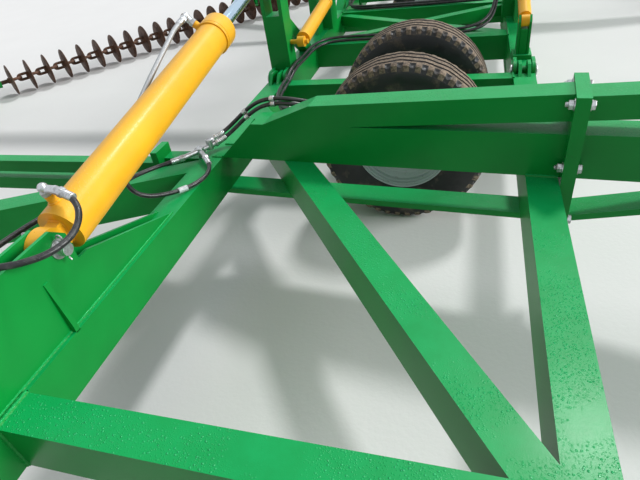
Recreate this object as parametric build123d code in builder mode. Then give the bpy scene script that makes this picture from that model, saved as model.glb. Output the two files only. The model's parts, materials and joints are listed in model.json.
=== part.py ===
# Disc chain harrow with two folding wings.
# Millimetres. X is forward, Y is to the machine's left, Z is up and the ground is Z = 0.
# X = 0 and Y = 0 are the middle of the machine's length and width.
# "near" is the right-hand side (-Y) and "far" the left-hand side (+Y).
# Distances called "out" are measured from the centreline, whichever side they are on.
import os
from math import cos, hypot, radians, sin, tan

from build123d import *

os.makedirs("parts", exist_ok=True)

SIDES = (("near", -1), ("far", 1))
FACE_GAP = 0.3
PIN_GAP = 0.5

# Box sections of the frame
ARM_WIDE = 130
ARM_DEEP = 200
ARM_TOP = 720
ARM_BOTTOM = ARM_TOP - ARM_DEEP
REAR_X = -2045
FRONT_X = -383
BAY_REAR = REAR_X + ARM_WIDE / 2
BAY_FRONT = FRONT_X - ARM_WIDE / 2

# Wing hinge
HINGE_OUT = 1360
HINGE_Z = ARM_TOP
HINGE_PIN_R = 25
EAR_R = 60
EAR_THICK = 20
EAR_SPREAD = 55
TONGUE_SPREAD = 27
BEAM_END = HINGE_OUT - EAR_R - 10
ARM_START = HINGE_OUT + EAR_R + 10

# Wing plan
BEND_OUT = 4300
TIP_OUT = 7400
TIP_REAR_X = -1600
TIP_FRONT_X = -830
CHORD_OUT = 1450
CHORD_WIDE = 100
CHORD_DEEP = 120
STRUT_OUT = 4135
OUTER_STRUT_OUT = 5400
DIAGONAL_WIDE = 125
DIAGONAL_FRONT = (-500, 4050)
DIAGONAL_REAR = (-1980, 1940)

# Fore-and-aft girder on top of the arms, slightly off square to them
GIRDER_X = -1995
GIRDER_OUT = 2545
GIRDER_SKEW = 5.06
MAIN_WIDE = 150
MAIN_DEEP = 200
UPPER_WIDE = 130
UPPER_DEEP = 100
UPPER_START = 564
UPPER_RISE = 3.5
FLANGE_AT = 1692
FLANGE_THICK = 27
FLANGE_LOW = 470
FLANGE_TOP = 1098
FLANGE_PROUD = 60
LOWER_WIDE = 140
LOWER_THICK = 30
LOWER_RISE = 12
REAR_CHORD_OUT = 2480
REAR_CHORD_WIDE = 140
REAR_CHORD_Z = ((520, 600), (645, 720))
REAR_CHORD_LENGTH = 2000
FRONT_LEG_OUT = 2848
UPPER_BEND = 2900
LEG_SIZE = 110

# Fold cylinder
BASE_OUT = 3700
BASE_Z = 1000
EYE_OUT = 1210
EYE_Z = 1420
BARREL_R = 85
GLAND_R = 92
BARREL_LENGTH = 1620
BORE_DEPTH = 1260
ROD_R = 35
ROD_HIDDEN = 350
CYLINDER_PIN_R = 25
BASE_EYE_R = 70
ROD_EYE_R = 55
EYE_WIDE = 80
LUG_THICK = 25
LUG_GAP = 100
LUG_LENGTH = 620
LUG_NECK = 52
BASE_EYE_WIDE = 56
BASE_LUG_GAP = 60
BASE_LUG_THICK = 14
BASE_LUG_TOP = 1070
BASE_LUG_OUTER = ((3930, 1070), (4240, 780), (4240, 720))
BASE_PIN_PROUD = 40

# Hose ports on the barrel: distance out, and lean back from upright in degrees
PORTS = ((3560, 10), (2200, 45))
PORT_R = 20
PORT_HEIGHT = 30
ELBOW_HEIGHT = 30
ELBOW_END = 24

# Small lateral cylinders between the posts and the middle: two eyes each, as (out, z)
REAR_LINK_X = -1890
REAR_LINK_EYES = ((1200, 930), (60, 1060))
REAR_LINK_R = 50
FRONT_LINK_EYES = ((1100, 950), (160, 1171))
FRONT_LINK_R = 40
LINK_EYE_R = 36
LINK_EYE_WIDE = 50
LINK_PIN_R = 16
LINK_LUG_THICK = 14

HOSE_R = 11
FITTING_R = 15

# Hoses of the fold cylinders, as (x, out, z): base port to tee, rod port to tee, and tee to the hinge
BASE_HOSE = (
    (-2005, 3585, 1152), (-1945, 3600, 1146), (-1895, 3645, 1112), (-1880, 3720, 1080), (-1900, 3815, 1076),
    (-1960, 3893, 1091), (-2045, 3930, 1101), (-2135, 3920, 1086), (-2225, 3870, 1040), (-2300, 3790, 985),
    (-2335, 3695, 955),
    (-2322, 3590, 953), (-2288, 3480, 955), (-2265, 3340, 930), (-2270, 3180, 880), (-2290, 3020, 825),
    (-2310, 2870, 785), (-2280, 2760, 765), (-2225, 2690, 760), (-2165, 2632, 760))
ROD_HOSE = (
    (-2160, 2245, 1372), (-2168, 2340, 1352), (-2160, 2460, 1310), (-2152, 2590, 1266), (-2150, 2730, 1210),
    (-2152, 2880, 1140), (-2160, 3005, 1060), (-2172, 3085, 960), (-2170, 3105, 865), (-2135, 3065, 790),
    (-2070, 2970, 748), (-2000, 2870, 734), (-1965, 2770, 734), (-1985, 2675, 742), (-2040, 2615, 757))
WING_HOSE = (
    (-2045, 2462, 760), (-2000, 2400, 775), (-1945, 2360, 815), (-1875, 2345, 870), (-1790, 2352, 922),
    (-1700, 2372, 948), (-1600, 2385, 950), (-1505, 2368, 925), (-1450, 2300, 880), (-1465, 2215, 835),
    (-1540, 2160, 800), (-1640, 2120, 772), (-1740, 2060, 755), (-1825, 1970, 745), (-1880, 1850, 738),
    (-1915, 1710, 736), (-1930, 1570, 734), (-1935, 1460, 736), (-1932, 1365, 760), (-1928, 1272, 772))
CENTRE_HOSE = (
    (-1927, 1226, 775), (-1935, 1140, 760), (-1950, 1040, 742), (-1958, 930, 734), (-1956, 810, 733),
    (-1942, 700, 734), (-1908, 610, 733), (-1845, 550, 733), (-1760, 528, 732), (-1640, 522, 733),
    (-1490, 525, 732), (-1330, 520, 733), (-1170, 522, 732), (-1010, 517, 733), (-860, 512, 734),
    (-730, 492, 740), (-640, 440, 752), (-580, 360, 778), (-550, 270, 820), (-535, 190, 880),
    (-520, 120, 945), (-502, 70, 1005))
SECOND_HOSE = (-14, -12, 24)
TEE = ((-2165, 2632, 760), (-2068, 2494, 760))
TEE_BRANCH = (-2105, 2547, 760)

# Centre frame
STRUT_WIDE = 130
CENTRE_STRUT_OUT = 525
CENTRE_STRUT_DEEP = 184
BRACE_WIDE = 90
BRACE_DEEP = 90
POST_OUT = 1215
POST_SIZE = 150
POST_TOP = 1130
FORK_TOP_R = 70
KING_SIZE = 200
GUSSET_FOOT = 180
GUSSET_HEIGHT = 320
BACKBONE_LOW = 1300
BACKBONE_DEEP = 200
BACKBONE_WIDE = 200

# Disc chains: each lies along X = apex X + or - its slope times the distance out
REAR_APEX_X = -6860
FRONT_APEX_X = 4120
REAR_SLOPE = 0.7
FRONT_SLOPE = 0.647
CHAIN_Z = 200
DISC_R = 194
DISC_THICK = 10
DISC_SIDES = 16
DISC_PITCH = 240
DISC_MARGIN = 160
SHAFT_R = 25
LINKS_PER_PITCH = 2
LINK_LENGTH = 106
LINK_WIDE = 112
LINK_BAR = 36
CHAIN_INNER = 270
CHAIN_OUTER = TIP_OUT + 30
REAR_LEG_OUT = 3675
REAR_LEG_START = 2640
BEARING_R = 55
BEARING_LENGTH = 70
SADDLE_GAP = 8
SADDLE_WALL = 16

# Twin wheels
WHEEL_X = -1080
WHEEL_R = 505
TYRE_WIDE = 275
RIM_R = 286
WHEEL_OUTS = (1210, 1900)
AXLE_R = 40
WHEEL_ARM_OUT = 1555
WHEEL_ARM_WIDE = 100
WHEEL_ARM_DEEP = 120
ROCKSHAFT_R = 60
ROCKSHAFT_Z = 400
HUB_R = 95

# Castor wheels at the wing tips
CASTOR_X = -1215
CASTOR_OUT = 6950
CASTOR_TRAIL = 140
TIP_WHEEL_R = 240
TIP_WHEEL_WIDE = 150
TIP_RIM_R = 120
KINGPIN_R = 25
FORK_THICK = 16
CROWN_LOW = 495
CROWN_THICK = 20
SOCKET_LOW = CROWN_LOW + CROWN_THICK + 15
SOCKET_TOP = 760

# Drawbar and parking jack
NOSE_X = 4200
HITCH_X = 6778
HITCH_Z = 500
EYE_BORE_R = 26
EYE_OUTER_R = 62
EYE_THICK = 40
DRAWBAR_WIDE = 180
DRAWBAR_DEEP = 200
JACK_X = 5500
JACK_OUT = 190
JACK_TUBE_R = 50
JACK_LEG_R = 38
JACK_FOOT = 240
JACK_FOOT_THICK = 16
JACK_STROKE = 350
JACK_TUBE_LOW = JACK_FOOT_THICK + JACK_STROKE + 20
JACK_TUBE_TOP = 1050
JACK_LEG_TOP = 640


def save(piece, node):
    piece.part.label = node
    export_step(piece.part, f"parts/{node}.step")


def block(x, y, z):
    """A box between two X, two Y and two Z values, given as pairs."""
    middle = tuple((low + high) / 2 for low, high in (x, y, z))
    with Locations(middle):
        Box(*(abs(high - low) for low, high in (x, y, z)))


def beam(start, end, wide, deep, mode=Mode.ADD):
    """A box section between two points: wide across it in plan, deep upright."""
    run = Vector(*end) - Vector(*start)
    across = Vector(0, 0, 1).cross(run)
    if across.length < 1:
        across = Vector(1, 0, 0)
    with BuildSketch(Plane(origin=start, x_dir=across, z_dir=run)) as profile:
        Rectangle(wide, deep)
    extrude(profile.sketch, amount=run.length, mode=mode)


def bar(start, end, radius, mode=Mode.ADD):
    """A round bar between two points."""
    run = Vector(*end) - Vector(*start)
    with BuildSketch(Plane(origin=start, z_dir=run)) as profile:
        Circle(radius)
    extrude(profile.sketch, amount=run.length, mode=mode)


def cross_plate(outline, x, thick, side=1, mode=Mode.ADD):
    """A plate square to X at x, from an outline of (out, z) points."""
    with BuildSketch(Plane(origin=(x, 0, 0), x_dir=(0, 1, 0), z_dir=(1, 0, 0))) as profile:
        with BuildLine():
            Polyline(*[(side * out, z) for out, z in outline], close=True)
        make_face()
    extrude(profile.sketch, amount=thick / 2, both=True, mode=mode)


def plan_plate(outline, z, thick, side=1, mode=Mode.ADD):
    """A flat plate from z upwards, from an outline of (x, out) points."""
    with BuildSketch(Plane.XY.offset(z)) as profile:
        with BuildLine():
            Polyline(*[(x, side * out) for x, out in outline], close=True)
        make_face()
    extrude(profile.sketch, amount=thick, mode=mode)


def girder_plane(side, inset=0):
    """The girder's outer face: its X runs along the girder and its Y is up."""
    along = Vector(cos(radians(GIRDER_SKEW)), side * sin(radians(GIRDER_SKEW)), 0)
    inward = Vector(along.Y, -along.X, 0) * side
    origin = Vector(GIRDER_X, side * GIRDER_OUT, 0) + inward * inset
    return Plane(origin=origin, x_dir=along, z_dir=inward * side)


def girder_plate(outline, wide, side, inset=0):
    """A member of the girder from its outline of (along, z) points."""
    with BuildSketch(girder_plane(side, inset)) as profile:
        with BuildLine():
            Polyline(*outline, close=True)
        make_face()
    extrude(profile.sketch, amount=side * wide)


def chain_point(end, out, side, z=CHAIN_Z):
    """A point on a disc chain's axis: end is "rear" or "front"."""
    x = REAR_APEX_X + REAR_SLOPE * out if end == "rear" else FRONT_APEX_X - FRONT_SLOPE * out
    return Vector(x, side * out, z)


def centre_cross_beam(x):
    """One of the two beams that the wings hinge on, with its ears and pins."""
    with BuildPart() as piece:
        block((x - ARM_WIDE / 2, x + ARM_WIDE / 2), (-BEAM_END, BEAM_END), (ARM_BOTTOM, ARM_TOP))
        for side in (-1, 1):
            pin = (side * HINGE_OUT, HINGE_Z)
            for shift in (-EAR_SPREAD, EAR_SPREAD):
                cross_plate(
                    [(BEAM_END, HINGE_Z - EAR_R), (HINGE_OUT, HINGE_Z - EAR_R),
                     (HINGE_OUT, HINGE_Z + EAR_R), (BEAM_END, HINGE_Z + EAR_R)],
                    x + shift, EAR_THICK, side)
                bar((x + shift - EAR_THICK / 2, *pin), (x + shift + EAR_THICK / 2, *pin), EAR_R)
            reach = EAR_SPREAD + EAR_THICK
            bar((x - reach, *pin), (x + reach, *pin), HINGE_PIN_R)
    return piece


def wing_arm(hinge_x, tip_x, side, lugs):
    """A wing's arm: straight from its hinge to the bend, then in towards the tip beam."""
    half = ARM_WIDE / 2
    tip = TIP_OUT - ARM_WIDE / 2
    with BuildPart() as piece:
        plan_plate(
            [(hinge_x - half, ARM_START), (hinge_x + half, ARM_START), (hinge_x + half, BEND_OUT),
             (tip_x + half, tip), (tip_x - half, tip), (hinge_x - half, BEND_OUT)],
            ARM_BOTTOM, ARM_DEEP, side)
        for shift in (-TONGUE_SPREAD, TONGUE_SPREAD):
            x = hinge_x + shift
            pin = (side * HINGE_OUT, HINGE_Z)
            cross_plate(
                [(ARM_START + EAR_R, HINGE_Z - EAR_R), (HINGE_OUT, HINGE_Z - EAR_R),
                 (HINGE_OUT, HINGE_Z + EAR_R), (ARM_START, HINGE_Z + EAR_R),
                 (ARM_START + EAR_R, HINGE_Z)],
                x, EAR_THICK, side)
            bar((x - EAR_THICK / 2, *pin), (x + EAR_THICK / 2, *pin), EAR_R)
        reach = EAR_SPREAD
        bar((hinge_x - reach, side * HINGE_OUT, HINGE_Z),
            (hinge_x + reach, side * HINGE_OUT, HINGE_Z), HINGE_PIN_R + PIN_GAP, Mode.SUBTRACT)
        if lugs:
            base = (side * BASE_OUT, BASE_Z)
            for shift in (-1, 1):
                x = hinge_x + shift * (BASE_LUG_GAP + BASE_LUG_THICK) / 2
                cross_plate(
                    [(BASE_OUT - LUG_LENGTH, ARM_TOP), (BASE_OUT - LUG_NECK - 50, BASE_Z - BARREL_R),
                     (BASE_OUT - LUG_NECK, BASE_Z - BARREL_R), (BASE_OUT - LUG_NECK, BASE_Z + LUG_NECK / 2),
                     (BASE_OUT, BASE_LUG_TOP), *BASE_LUG_OUTER],
                    x, BASE_LUG_THICK, side)
            reach = BASE_LUG_GAP / 2 + BASE_LUG_THICK + BASE_PIN_PROUD
            bar((hinge_x - reach, *base), (hinge_x + reach, *base), CYLINDER_PIN_R)
    return piece


def cylinder_points(side):
    """Base pin, rod-eye pin and the unit vector between them."""
    base = Vector(REAR_X, side * BASE_OUT, BASE_Z)
    eye = Vector(REAR_X, side * EYE_OUT, EYE_Z)
    return base, eye, (eye - base).normalized()


def port(out, lean, side):
    """A hose port's root on the barrel's axis and its direction, leaning back from upright."""
    base, eye, along = cylinder_points(side)
    upright = Vector(1, 0, 0).cross(along) * -side
    return base + along * ((BASE_OUT - out) / abs(along.Y)), upright * cos(radians(lean)) - Vector(sin(radians(lean)), 0, 0)


def fold_barrel(side):
    base, eye, along = cylinder_points(side)
    mouth = base + along * BARREL_LENGTH
    with BuildPart() as piece:
        bar(base + along * (BASE_EYE_R + 10), mouth - along * 115, BARREL_R)
        bar(mouth - along * 118, mouth, GLAND_R)
        half = Vector(BASE_EYE_WIDE / 2, 0, 0)
        bar(base - half, base + half, BASE_EYE_R)
        beam(base, base + along * (BASE_EYE_R + 20), BASE_EYE_WIDE - 4, BASE_EYE_R * 1.3)
        bar(base - half * 2, base + half * 2, CYLINDER_PIN_R + PIN_GAP, Mode.SUBTRACT)
        bar(mouth - along * BORE_DEPTH, mouth + along, ROD_R + PIN_GAP, Mode.SUBTRACT)
        for (out, lean), route in zip(PORTS, (BASE_HOSE, ROD_HOSE)):
            root, outward = port(out, lean, side)
            top = root + outward * (BARREL_R + PORT_HEIGHT + ELBOW_HEIGHT)
            start, after = (Vector(x, side * out, z) for x, out, z in route[:2])
            leave = (after - start).normalized()
            knee = start - leave * ELBOW_END
            bar(root + outward * (BARREL_R - 6), root + outward * (BARREL_R + PORT_HEIGHT), PORT_R)
            bar(root + outward * BARREL_R, top + outward * 6, FITTING_R + 2)
            bar(top - outward * 6, knee, FITTING_R)
            bar(knee - leave * 6, start - leave * FACE_GAP, FITTING_R)
    return piece


def fold_rod(side):
    base, eye, along = cylinder_points(side)
    with BuildPart() as piece:
        bar(base + along * (BARREL_LENGTH - ROD_HIDDEN), eye, ROD_R)
        half = Vector(EYE_WIDE / 2, 0, 0)
        bar(eye - half, eye + half, ROD_EYE_R)
    return piece


def link_lugs(eye, root):
    """The lug pairs at one end of both front link cylinders, from a face at out = root or, without one, the beam."""
    out, z = eye
    reach = LINK_EYE_WIDE / 2 + 1 + LINK_LUG_THICK / 2
    if root:
        outline = [(root, z - 60), (out, z - LINK_EYE_R), (out + LINK_EYE_R, z), (out, z + LINK_EYE_R), (root, z + 60)]
    else:
        outline = [(out - 70, ARM_TOP), (out - LINK_EYE_R, z), (out, z + LINK_EYE_R), (out + LINK_EYE_R, z),
                   (out + 50, ARM_TOP)]
    for side in (-1, 1):
        for shift in (-reach, reach):
            cross_plate(outline, FRONT_X + shift, LINK_LUG_THICK, side)
        half = Vector(2 * LINK_EYE_WIDE, 0, 0)
        pin = Vector(FRONT_X, side * out, z)
        bar(pin - half, pin + half, LINK_PIN_R + PIN_GAP, Mode.SUBTRACT)


def link_cylinder(x, eyes, radius, side):
    """A small lateral cylinder between two eyes, with its rod out by a quarter."""
    outer, inner = (Vector(x, side * out, z) for out, z in eyes)
    run = inner - outer
    along = run.normalized()
    half = Vector(LINK_EYE_WIDE / 2, 0, 0)
    bar(outer, outer + along * (LINK_EYE_R + 20), LINK_EYE_WIDE * 0.44)
    bar(outer + along * (LINK_EYE_R + 12), outer + run * 0.68, radius)
    bar(outer + run * 0.67, inner, radius * 0.45)
    for eye in (outer, inner):
        bar(eye - half, eye + half, LINK_EYE_R)
        if x == FRONT_X:
            bar(eye - half * 1.7, eye + half * 1.7, LINK_PIN_R)


def bend_radii(points):
    """The largest arcs that fit a hose's corners."""
    radii = []
    for before, corner, after in zip(points, points[1:], points[2:]):
        turn = (corner - before).get_angle(after - corner)
        run = min((corner - before).length, (after - corner).length)
        radii.append(0.45 * run / tan(radians(turn / 2)))
    return radii


def hose(route, side, shift=(0, 0, 0)):
    """A hose along a route of (x, out, z) points, moved by shift."""
    points = [Vector(x + shift[0], side * (out + shift[1]), z + shift[2]) for x, out, z in route]
    radii = bend_radii(points)
    print("hose", len(points), "points, tightest bend", round(min(radii)))
    with BuildLine() as path:
        FilletPolyline(*points, radius=radii)
    with BuildSketch(Plane(origin=points[0], z_dir=points[1] - points[0])) as section:
        Circle(HOSE_R)
    sweep(section.sketch, path=path.line)


def rear_post(side):
    """A post with the fork that takes the rod's eye, and its brace to the cross beam."""
    half = POST_SIZE / 2
    x = (REAR_X - half, REAR_X + half)
    out = sorted((side * (POST_OUT - half), side * (POST_OUT + half)))
    block(x, out, (ARM_TOP, POST_TOP))
    for shift in (-1, 1):
        cheek = REAR_X + shift * (LUG_GAP + LUG_THICK) / 2
        cross_plate(
            [(POST_OUT - half, POST_TOP - 10), (POST_OUT + half, POST_TOP - 10),
             (EYE_OUT + FORK_TOP_R, EYE_Z), (EYE_OUT + FORK_TOP_R / 2, EYE_Z + FORK_TOP_R * 0.85),
             (EYE_OUT - FORK_TOP_R / 2, EYE_Z + FORK_TOP_R * 0.85), (EYE_OUT - FORK_TOP_R, EYE_Z)],
            cheek, LUG_THICK, side)
        face = REAR_X + shift * (LUG_GAP / 2 + LUG_THICK)
        bar((face - shift * 5, side * EYE_OUT, EYE_Z), (face + shift * 20, side * EYE_OUT, EYE_Z), 38)
    inner = POST_OUT - half
    cross_plate(
        [(inner + 1, POST_TOP), (inner + 1, POST_TOP - 120), (inner - 420, ARM_TOP), (inner - 540, ARM_TOP)],
        REAR_X, 80, side)


def tyre(x, y, z, radius, wide, rim_r):
    """A tyre with bulged walls and a flat tread, its axis along Y."""
    half = wide / 2
    shoulder = radius - radius * 0.045
    with BuildSketch(Plane(origin=(x, y, z), x_dir=(0, 1, 0), z_dir=(1, 0, 0))) as profile:
        with BuildLine():
            Polyline((-half * 0.72, rim_r), (-half * 0.8, rim_r + 12))
            ThreePointArc((-half * 0.8, rim_r + 12), (-half, (rim_r + radius) / 2), (-half * 0.86, shoulder))
            Polyline((-half * 0.86, shoulder), (-half * 0.68, radius), (half * 0.68, radius),
                     (half * 0.86, shoulder))
            ThreePointArc((half * 0.86, shoulder), (half, (rim_r + radius) / 2), (half * 0.8, rim_r + 12))
            Polyline((half * 0.8, rim_r + 12), (half * 0.72, rim_r), (-half * 0.72, rim_r))
        make_face()
    revolve(profile.sketch, axis=Axis((x, y, z), (0, 1, 0)))


def rim(x, y, z, rim_r, wide, dish, hub_r, bore_r):
    """A wheel: its rim band, dished disc and hub, bored for the axle along Y."""
    half = wide * 0.36
    band = 14
    with BuildSketch(Plane(origin=(x, y, z), x_dir=(0, 1, 0), z_dir=(1, 0, 0))) as profile:
        with BuildLine():
            Polyline(
                (-half, rim_r - FACE_GAP), (half, rim_r - FACE_GAP), (half, rim_r - band),
                (dish + band, rim_r - 2 * band), (dish + band, hub_r), (half, hub_r), (half, bore_r),
                (-half, bore_r), (-half, hub_r), (dish, hub_r), (dish, rim_r - 2 * band),
                (-half, rim_r - band), close=True)
        make_face()
    revolve(profile.sketch, axis=Axis((x, y, z), (0, 1, 0)))


def disc_places(end):
    """Distances along a chain to its discs, and to the outrigger's leg, which stands midway between two."""
    stretch = hypot(1, REAR_SLOPE if end == "rear" else FRONT_SLOPE)
    length = (CHAIN_OUTER - CHAIN_INNER) * stretch
    leg = ((REAR_LEG_OUT if end == "rear" else FRONT_LEG_OUT) - CHAIN_INNER) * stretch
    place = leg + DISC_PITCH / 2
    while place - DISC_PITCH > DISC_MARGIN:
        place -= DISC_PITCH
    places = []
    while place < length - DISC_MARGIN:
        places.append(place)
        place += DISC_PITCH
    return places, leg


def disc_chain(end, side):
    """A chain of dished discs on its line of links, one turning body."""
    start = chain_point(end, CHAIN_INNER, side)
    finish = chain_point(end, CHAIN_OUTER, side)
    along = (finish - start).normalized()
    places, leg = disc_places(end)
    step = DISC_PITCH / LINKS_PER_PITCH
    level = Vector(0, 0, 1).cross(along)
    with BuildPart() as piece:
        bar(start, finish, SHAFT_R)
        planes = [Plane(origin=start + along * (place - DISC_THICK / 2), z_dir=along) for place in places]
        with BuildSketch(*planes) as profile:
            RegularPolygon(DISC_R, DISC_SIDES)
        extrude(profile.sketch, amount=DISC_THICK)
        for turned in (False, True):
            planes = [Plane(origin=start + along * (place + (number + 0.5) * step - LINK_LENGTH / 2),
                            x_dir=level, z_dir=along)
                      for place in places[:-1] if abs(place + DISC_PITCH / 2 - leg) > step
                      for number in range(LINKS_PER_PITCH) if (number % 2 == 1) == turned]
            with BuildSketch(*planes) as profile:
                if turned:
                    Rectangle(LINK_BAR, LINK_WIDE)
                else:
                    Rectangle(LINK_WIDE, LINK_BAR)
            extrude(profile.sketch, amount=LINK_LENGTH)
    return piece


def bearing(end, out, side):
    """A ring round a chain's journal, bored with a running gap."""
    along = (chain_point(end, out + 1, side) - chain_point(end, out, side)).normalized()
    centre = chain_point(end, out, side)
    half = along * (BEARING_LENGTH / 2)
    bar(centre - half, centre + half, BEARING_R)


def bearing_bore(end, out, side):
    along = (chain_point(end, out + 1, side) - chain_point(end, out, side)).normalized()
    centre = chain_point(end, out, side)
    bar(centre - along * BEARING_LENGTH, centre + along * BEARING_LENGTH, SHAFT_R + PIN_GAP, Mode.SUBTRACT)


def saddle_leg(end, out, top, size, side):
    """A leg that stands over a chain's journal, with a saddle open at the bottom."""
    centre = chain_point(end, out, side)
    along = (chain_point(end, out + 1, side) - centre).normalized()
    inner = SHAFT_R + SADDLE_GAP
    outer = inner + SADDLE_WALL
    half = size / 2
    block((centre.X - half, centre.X + half),
          (centre.Y - half, centre.Y + half), (CHAIN_Z + inner + SADDLE_WALL / 2, top))
    bar(centre - along * half, centre + along * half, outer)
    bar(centre - along * size, centre + along * size, inner, Mode.SUBTRACT)
    with BuildSketch(Plane(origin=centre - along * size, x_dir=Vector(0, 0, 1).cross(along), z_dir=along)) as profile:
        with Locations((0, -outer)):
            Rectangle(4 * outer, 2 * outer)
    extrude(profile.sketch, amount=2 * size, mode=Mode.SUBTRACT)


def apex_leg(end, leg_x):
    """The leg under one end of the backbone, with both chains' inner bearings."""
    bearing_out = CHAIN_INNER + BEARING_LENGTH / 2
    yoke_z = CHAIN_Z + BEARING_R + 10
    with BuildPart() as piece:
        block((leg_x - 75, leg_x + 75), (-75, 75), (yoke_z - 30, BACKBONE_LOW))
        for side in (-1, 1):
            ring = chain_point(end, bearing_out, side, yoke_z)
            beam((leg_x, 0, yoke_z), (ring.X, ring.Y, yoke_z), 90, 40)
            bearing(end, bearing_out, side)
        for side in (-1, 1):
            bearing_bore(end, bearing_out, side)
    return piece


# Centre frame
for node, x in (("rear_cross_beam", REAR_X), ("front_cross_beam", FRONT_X)):
    cross_beam = centre_cross_beam(x)
    if x == FRONT_X:
        with cross_beam:
            link_lugs(FRONT_LINK_EYES[0], None)
    save(cross_beam, node)

with BuildPart() as centre_struts:
    for side in (-1, 1):
        out = side * CENTRE_STRUT_OUT
        block((BAY_REAR, BAY_FRONT), (out - STRUT_WIDE / 2, out + STRUT_WIDE / 2),
              (ARM_TOP - CENTRE_STRUT_DEEP, ARM_TOP))
save(centre_struts, "centre_struts")

inner_edge = CENTRE_STRUT_OUT - STRUT_WIDE / 2
with BuildPart() as centre_brace:
    for side in (-1, 1):
        beam((BAY_REAR - 60, -side * (inner_edge + 30), ARM_TOP - 60),
             (BAY_FRONT + 60, side * (inner_edge + 30), ARM_TOP - 60), BRACE_WIDE, BRACE_DEEP)
    with Locations(((BAY_REAR + BAY_FRONT) / 2, 0, ARM_TOP - 60)):
        Box(BAY_FRONT - BAY_REAR, 2 * inner_edge, 2 * BRACE_DEEP, mode=Mode.INTERSECT)
save(centre_brace, "centre_brace")

with BuildPart() as rear_posts:
    for side in (-1, 1):
        rear_post(side)
save(rear_posts, "rear_posts")

with BuildPart() as king_posts:
    for x in (REAR_X, FRONT_X):
        half = KING_SIZE / 2
        block((x - half, x + half), (-half, half), (ARM_TOP, BACKBONE_LOW))
    link_lugs(FRONT_LINK_EYES[1], KING_SIZE / 2)
    for x in (REAR_X, FRONT_X):
        for side in (-1, 1):
            cross_plate([(half, ARM_TOP), (half + GUSSET_FOOT, ARM_TOP), (half, ARM_TOP + GUSSET_HEIGHT)],
                        x, LUG_THICK, side)
save(king_posts, "king_posts")

with BuildPart() as backbone:
    block((REAR_APEX_X + 20, NOSE_X), (-BACKBONE_WIDE / 2, BACKBONE_WIDE / 2),
          (BACKBONE_LOW, BACKBONE_LOW + BACKBONE_DEEP))
save(backbone, "backbone")

save(apex_leg("rear", REAR_APEX_X + 95), "rear_apex_leg")
save(apex_leg("front", FRONT_APEX_X - 95), "front_apex_leg")

with BuildPart() as link_cylinders:
    for side in (-1, 1):
        link_cylinder(REAR_LINK_X, REAR_LINK_EYES, REAR_LINK_R, side)
        link_cylinder(FRONT_X, FRONT_LINK_EYES, FRONT_LINK_R, side)
        for (out, z), face in zip(REAR_LINK_EYES, (REAR_X + POST_SIZE / 2, REAR_X + KING_SIZE / 2)):
            bar((face, side * out, z), (REAR_LINK_X + LINK_EYE_WIDE, side * out, z), LINK_PIN_R)
save(link_cylinders, "link_cylinders")

# Drawbar, hitch eye and jack
drawbar_run = HITCH_X - EYE_OUTER_R - 130
with BuildPart() as drawbar:
    with BuildSketch(Plane.XZ.offset(-DRAWBAR_WIDE / 2)):
        with BuildLine():
            Polyline(
                (NOSE_X, BACKBONE_LOW), (NOSE_X, BACKBONE_LOW + BACKBONE_DEEP),
                (NOSE_X + 160, BACKBONE_LOW + BACKBONE_DEEP), (JACK_X - 130, HITCH_Z + DRAWBAR_DEEP * 0.75),
                (drawbar_run, HITCH_Z + 60), (drawbar_run, HITCH_Z - 60),
                (JACK_X - 200, HITCH_Z - DRAWBAR_DEEP * 0.25), close=True)
        make_face()
    extrude(amount=DRAWBAR_WIDE)
save(drawbar, "drawbar")

with BuildPart() as hitch_eye:
    with BuildSketch(Plane.XY.offset(HITCH_Z - EYE_THICK / 2)):
        with Locations((HITCH_X, 0)):
            Circle(EYE_OUTER_R)
        with Locations(((HITCH_X + drawbar_run) / 2, 0)):
            Rectangle(HITCH_X - drawbar_run, 1.5 * EYE_OUTER_R)
        with Locations((HITCH_X, 0)):
            Circle(EYE_BORE_R, mode=Mode.SUBTRACT)
    extrude(amount=EYE_THICK)
save(hitch_eye, "hitch_eye")

with BuildPart() as jack_tube:
    bar((JACK_X, JACK_OUT, JACK_TUBE_LOW), (JACK_X, JACK_OUT, JACK_TUBE_TOP), JACK_TUBE_R)
    bar((JACK_X, JACK_OUT, 0), (JACK_X, JACK_OUT, JACK_LEG_TOP + JACK_STROKE + 20), JACK_LEG_R + PIN_GAP,
        Mode.SUBTRACT)
    block((JACK_X - 60, JACK_X + 60), (DRAWBAR_WIDE / 2, JACK_OUT - JACK_LEG_R - 6), (520, 600))
save(jack_tube, "jack_tube")

with BuildPart() as jack_leg:
    bar((JACK_X, JACK_OUT, JACK_FOOT_THICK), (JACK_X, JACK_OUT, JACK_LEG_TOP), JACK_LEG_R)
    block((JACK_X - JACK_FOOT / 2, JACK_X + JACK_FOOT / 2),
          (JACK_OUT - JACK_FOOT / 2, JACK_OUT + JACK_FOOT / 2), (0, JACK_FOOT_THICK))
save(jack_leg, "jack_leg")

# Centre wheels
with BuildPart() as rockshaft:
    reach = WHEEL_ARM_OUT - WHEEL_ARM_WIDE / 2
    bar((FRONT_X, -reach, ROCKSHAFT_Z), (FRONT_X, reach, ROCKSHAFT_Z), ROCKSHAFT_R)
    for out in (-1150, -CENTRE_STRUT_OUT, CENTRE_STRUT_OUT, 1150):
        block((FRONT_X - 50, FRONT_X + 50), (out - 15, out + 15), (ROCKSHAFT_Z - 80, ARM_BOTTOM))
save(rockshaft, "rockshaft")

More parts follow.
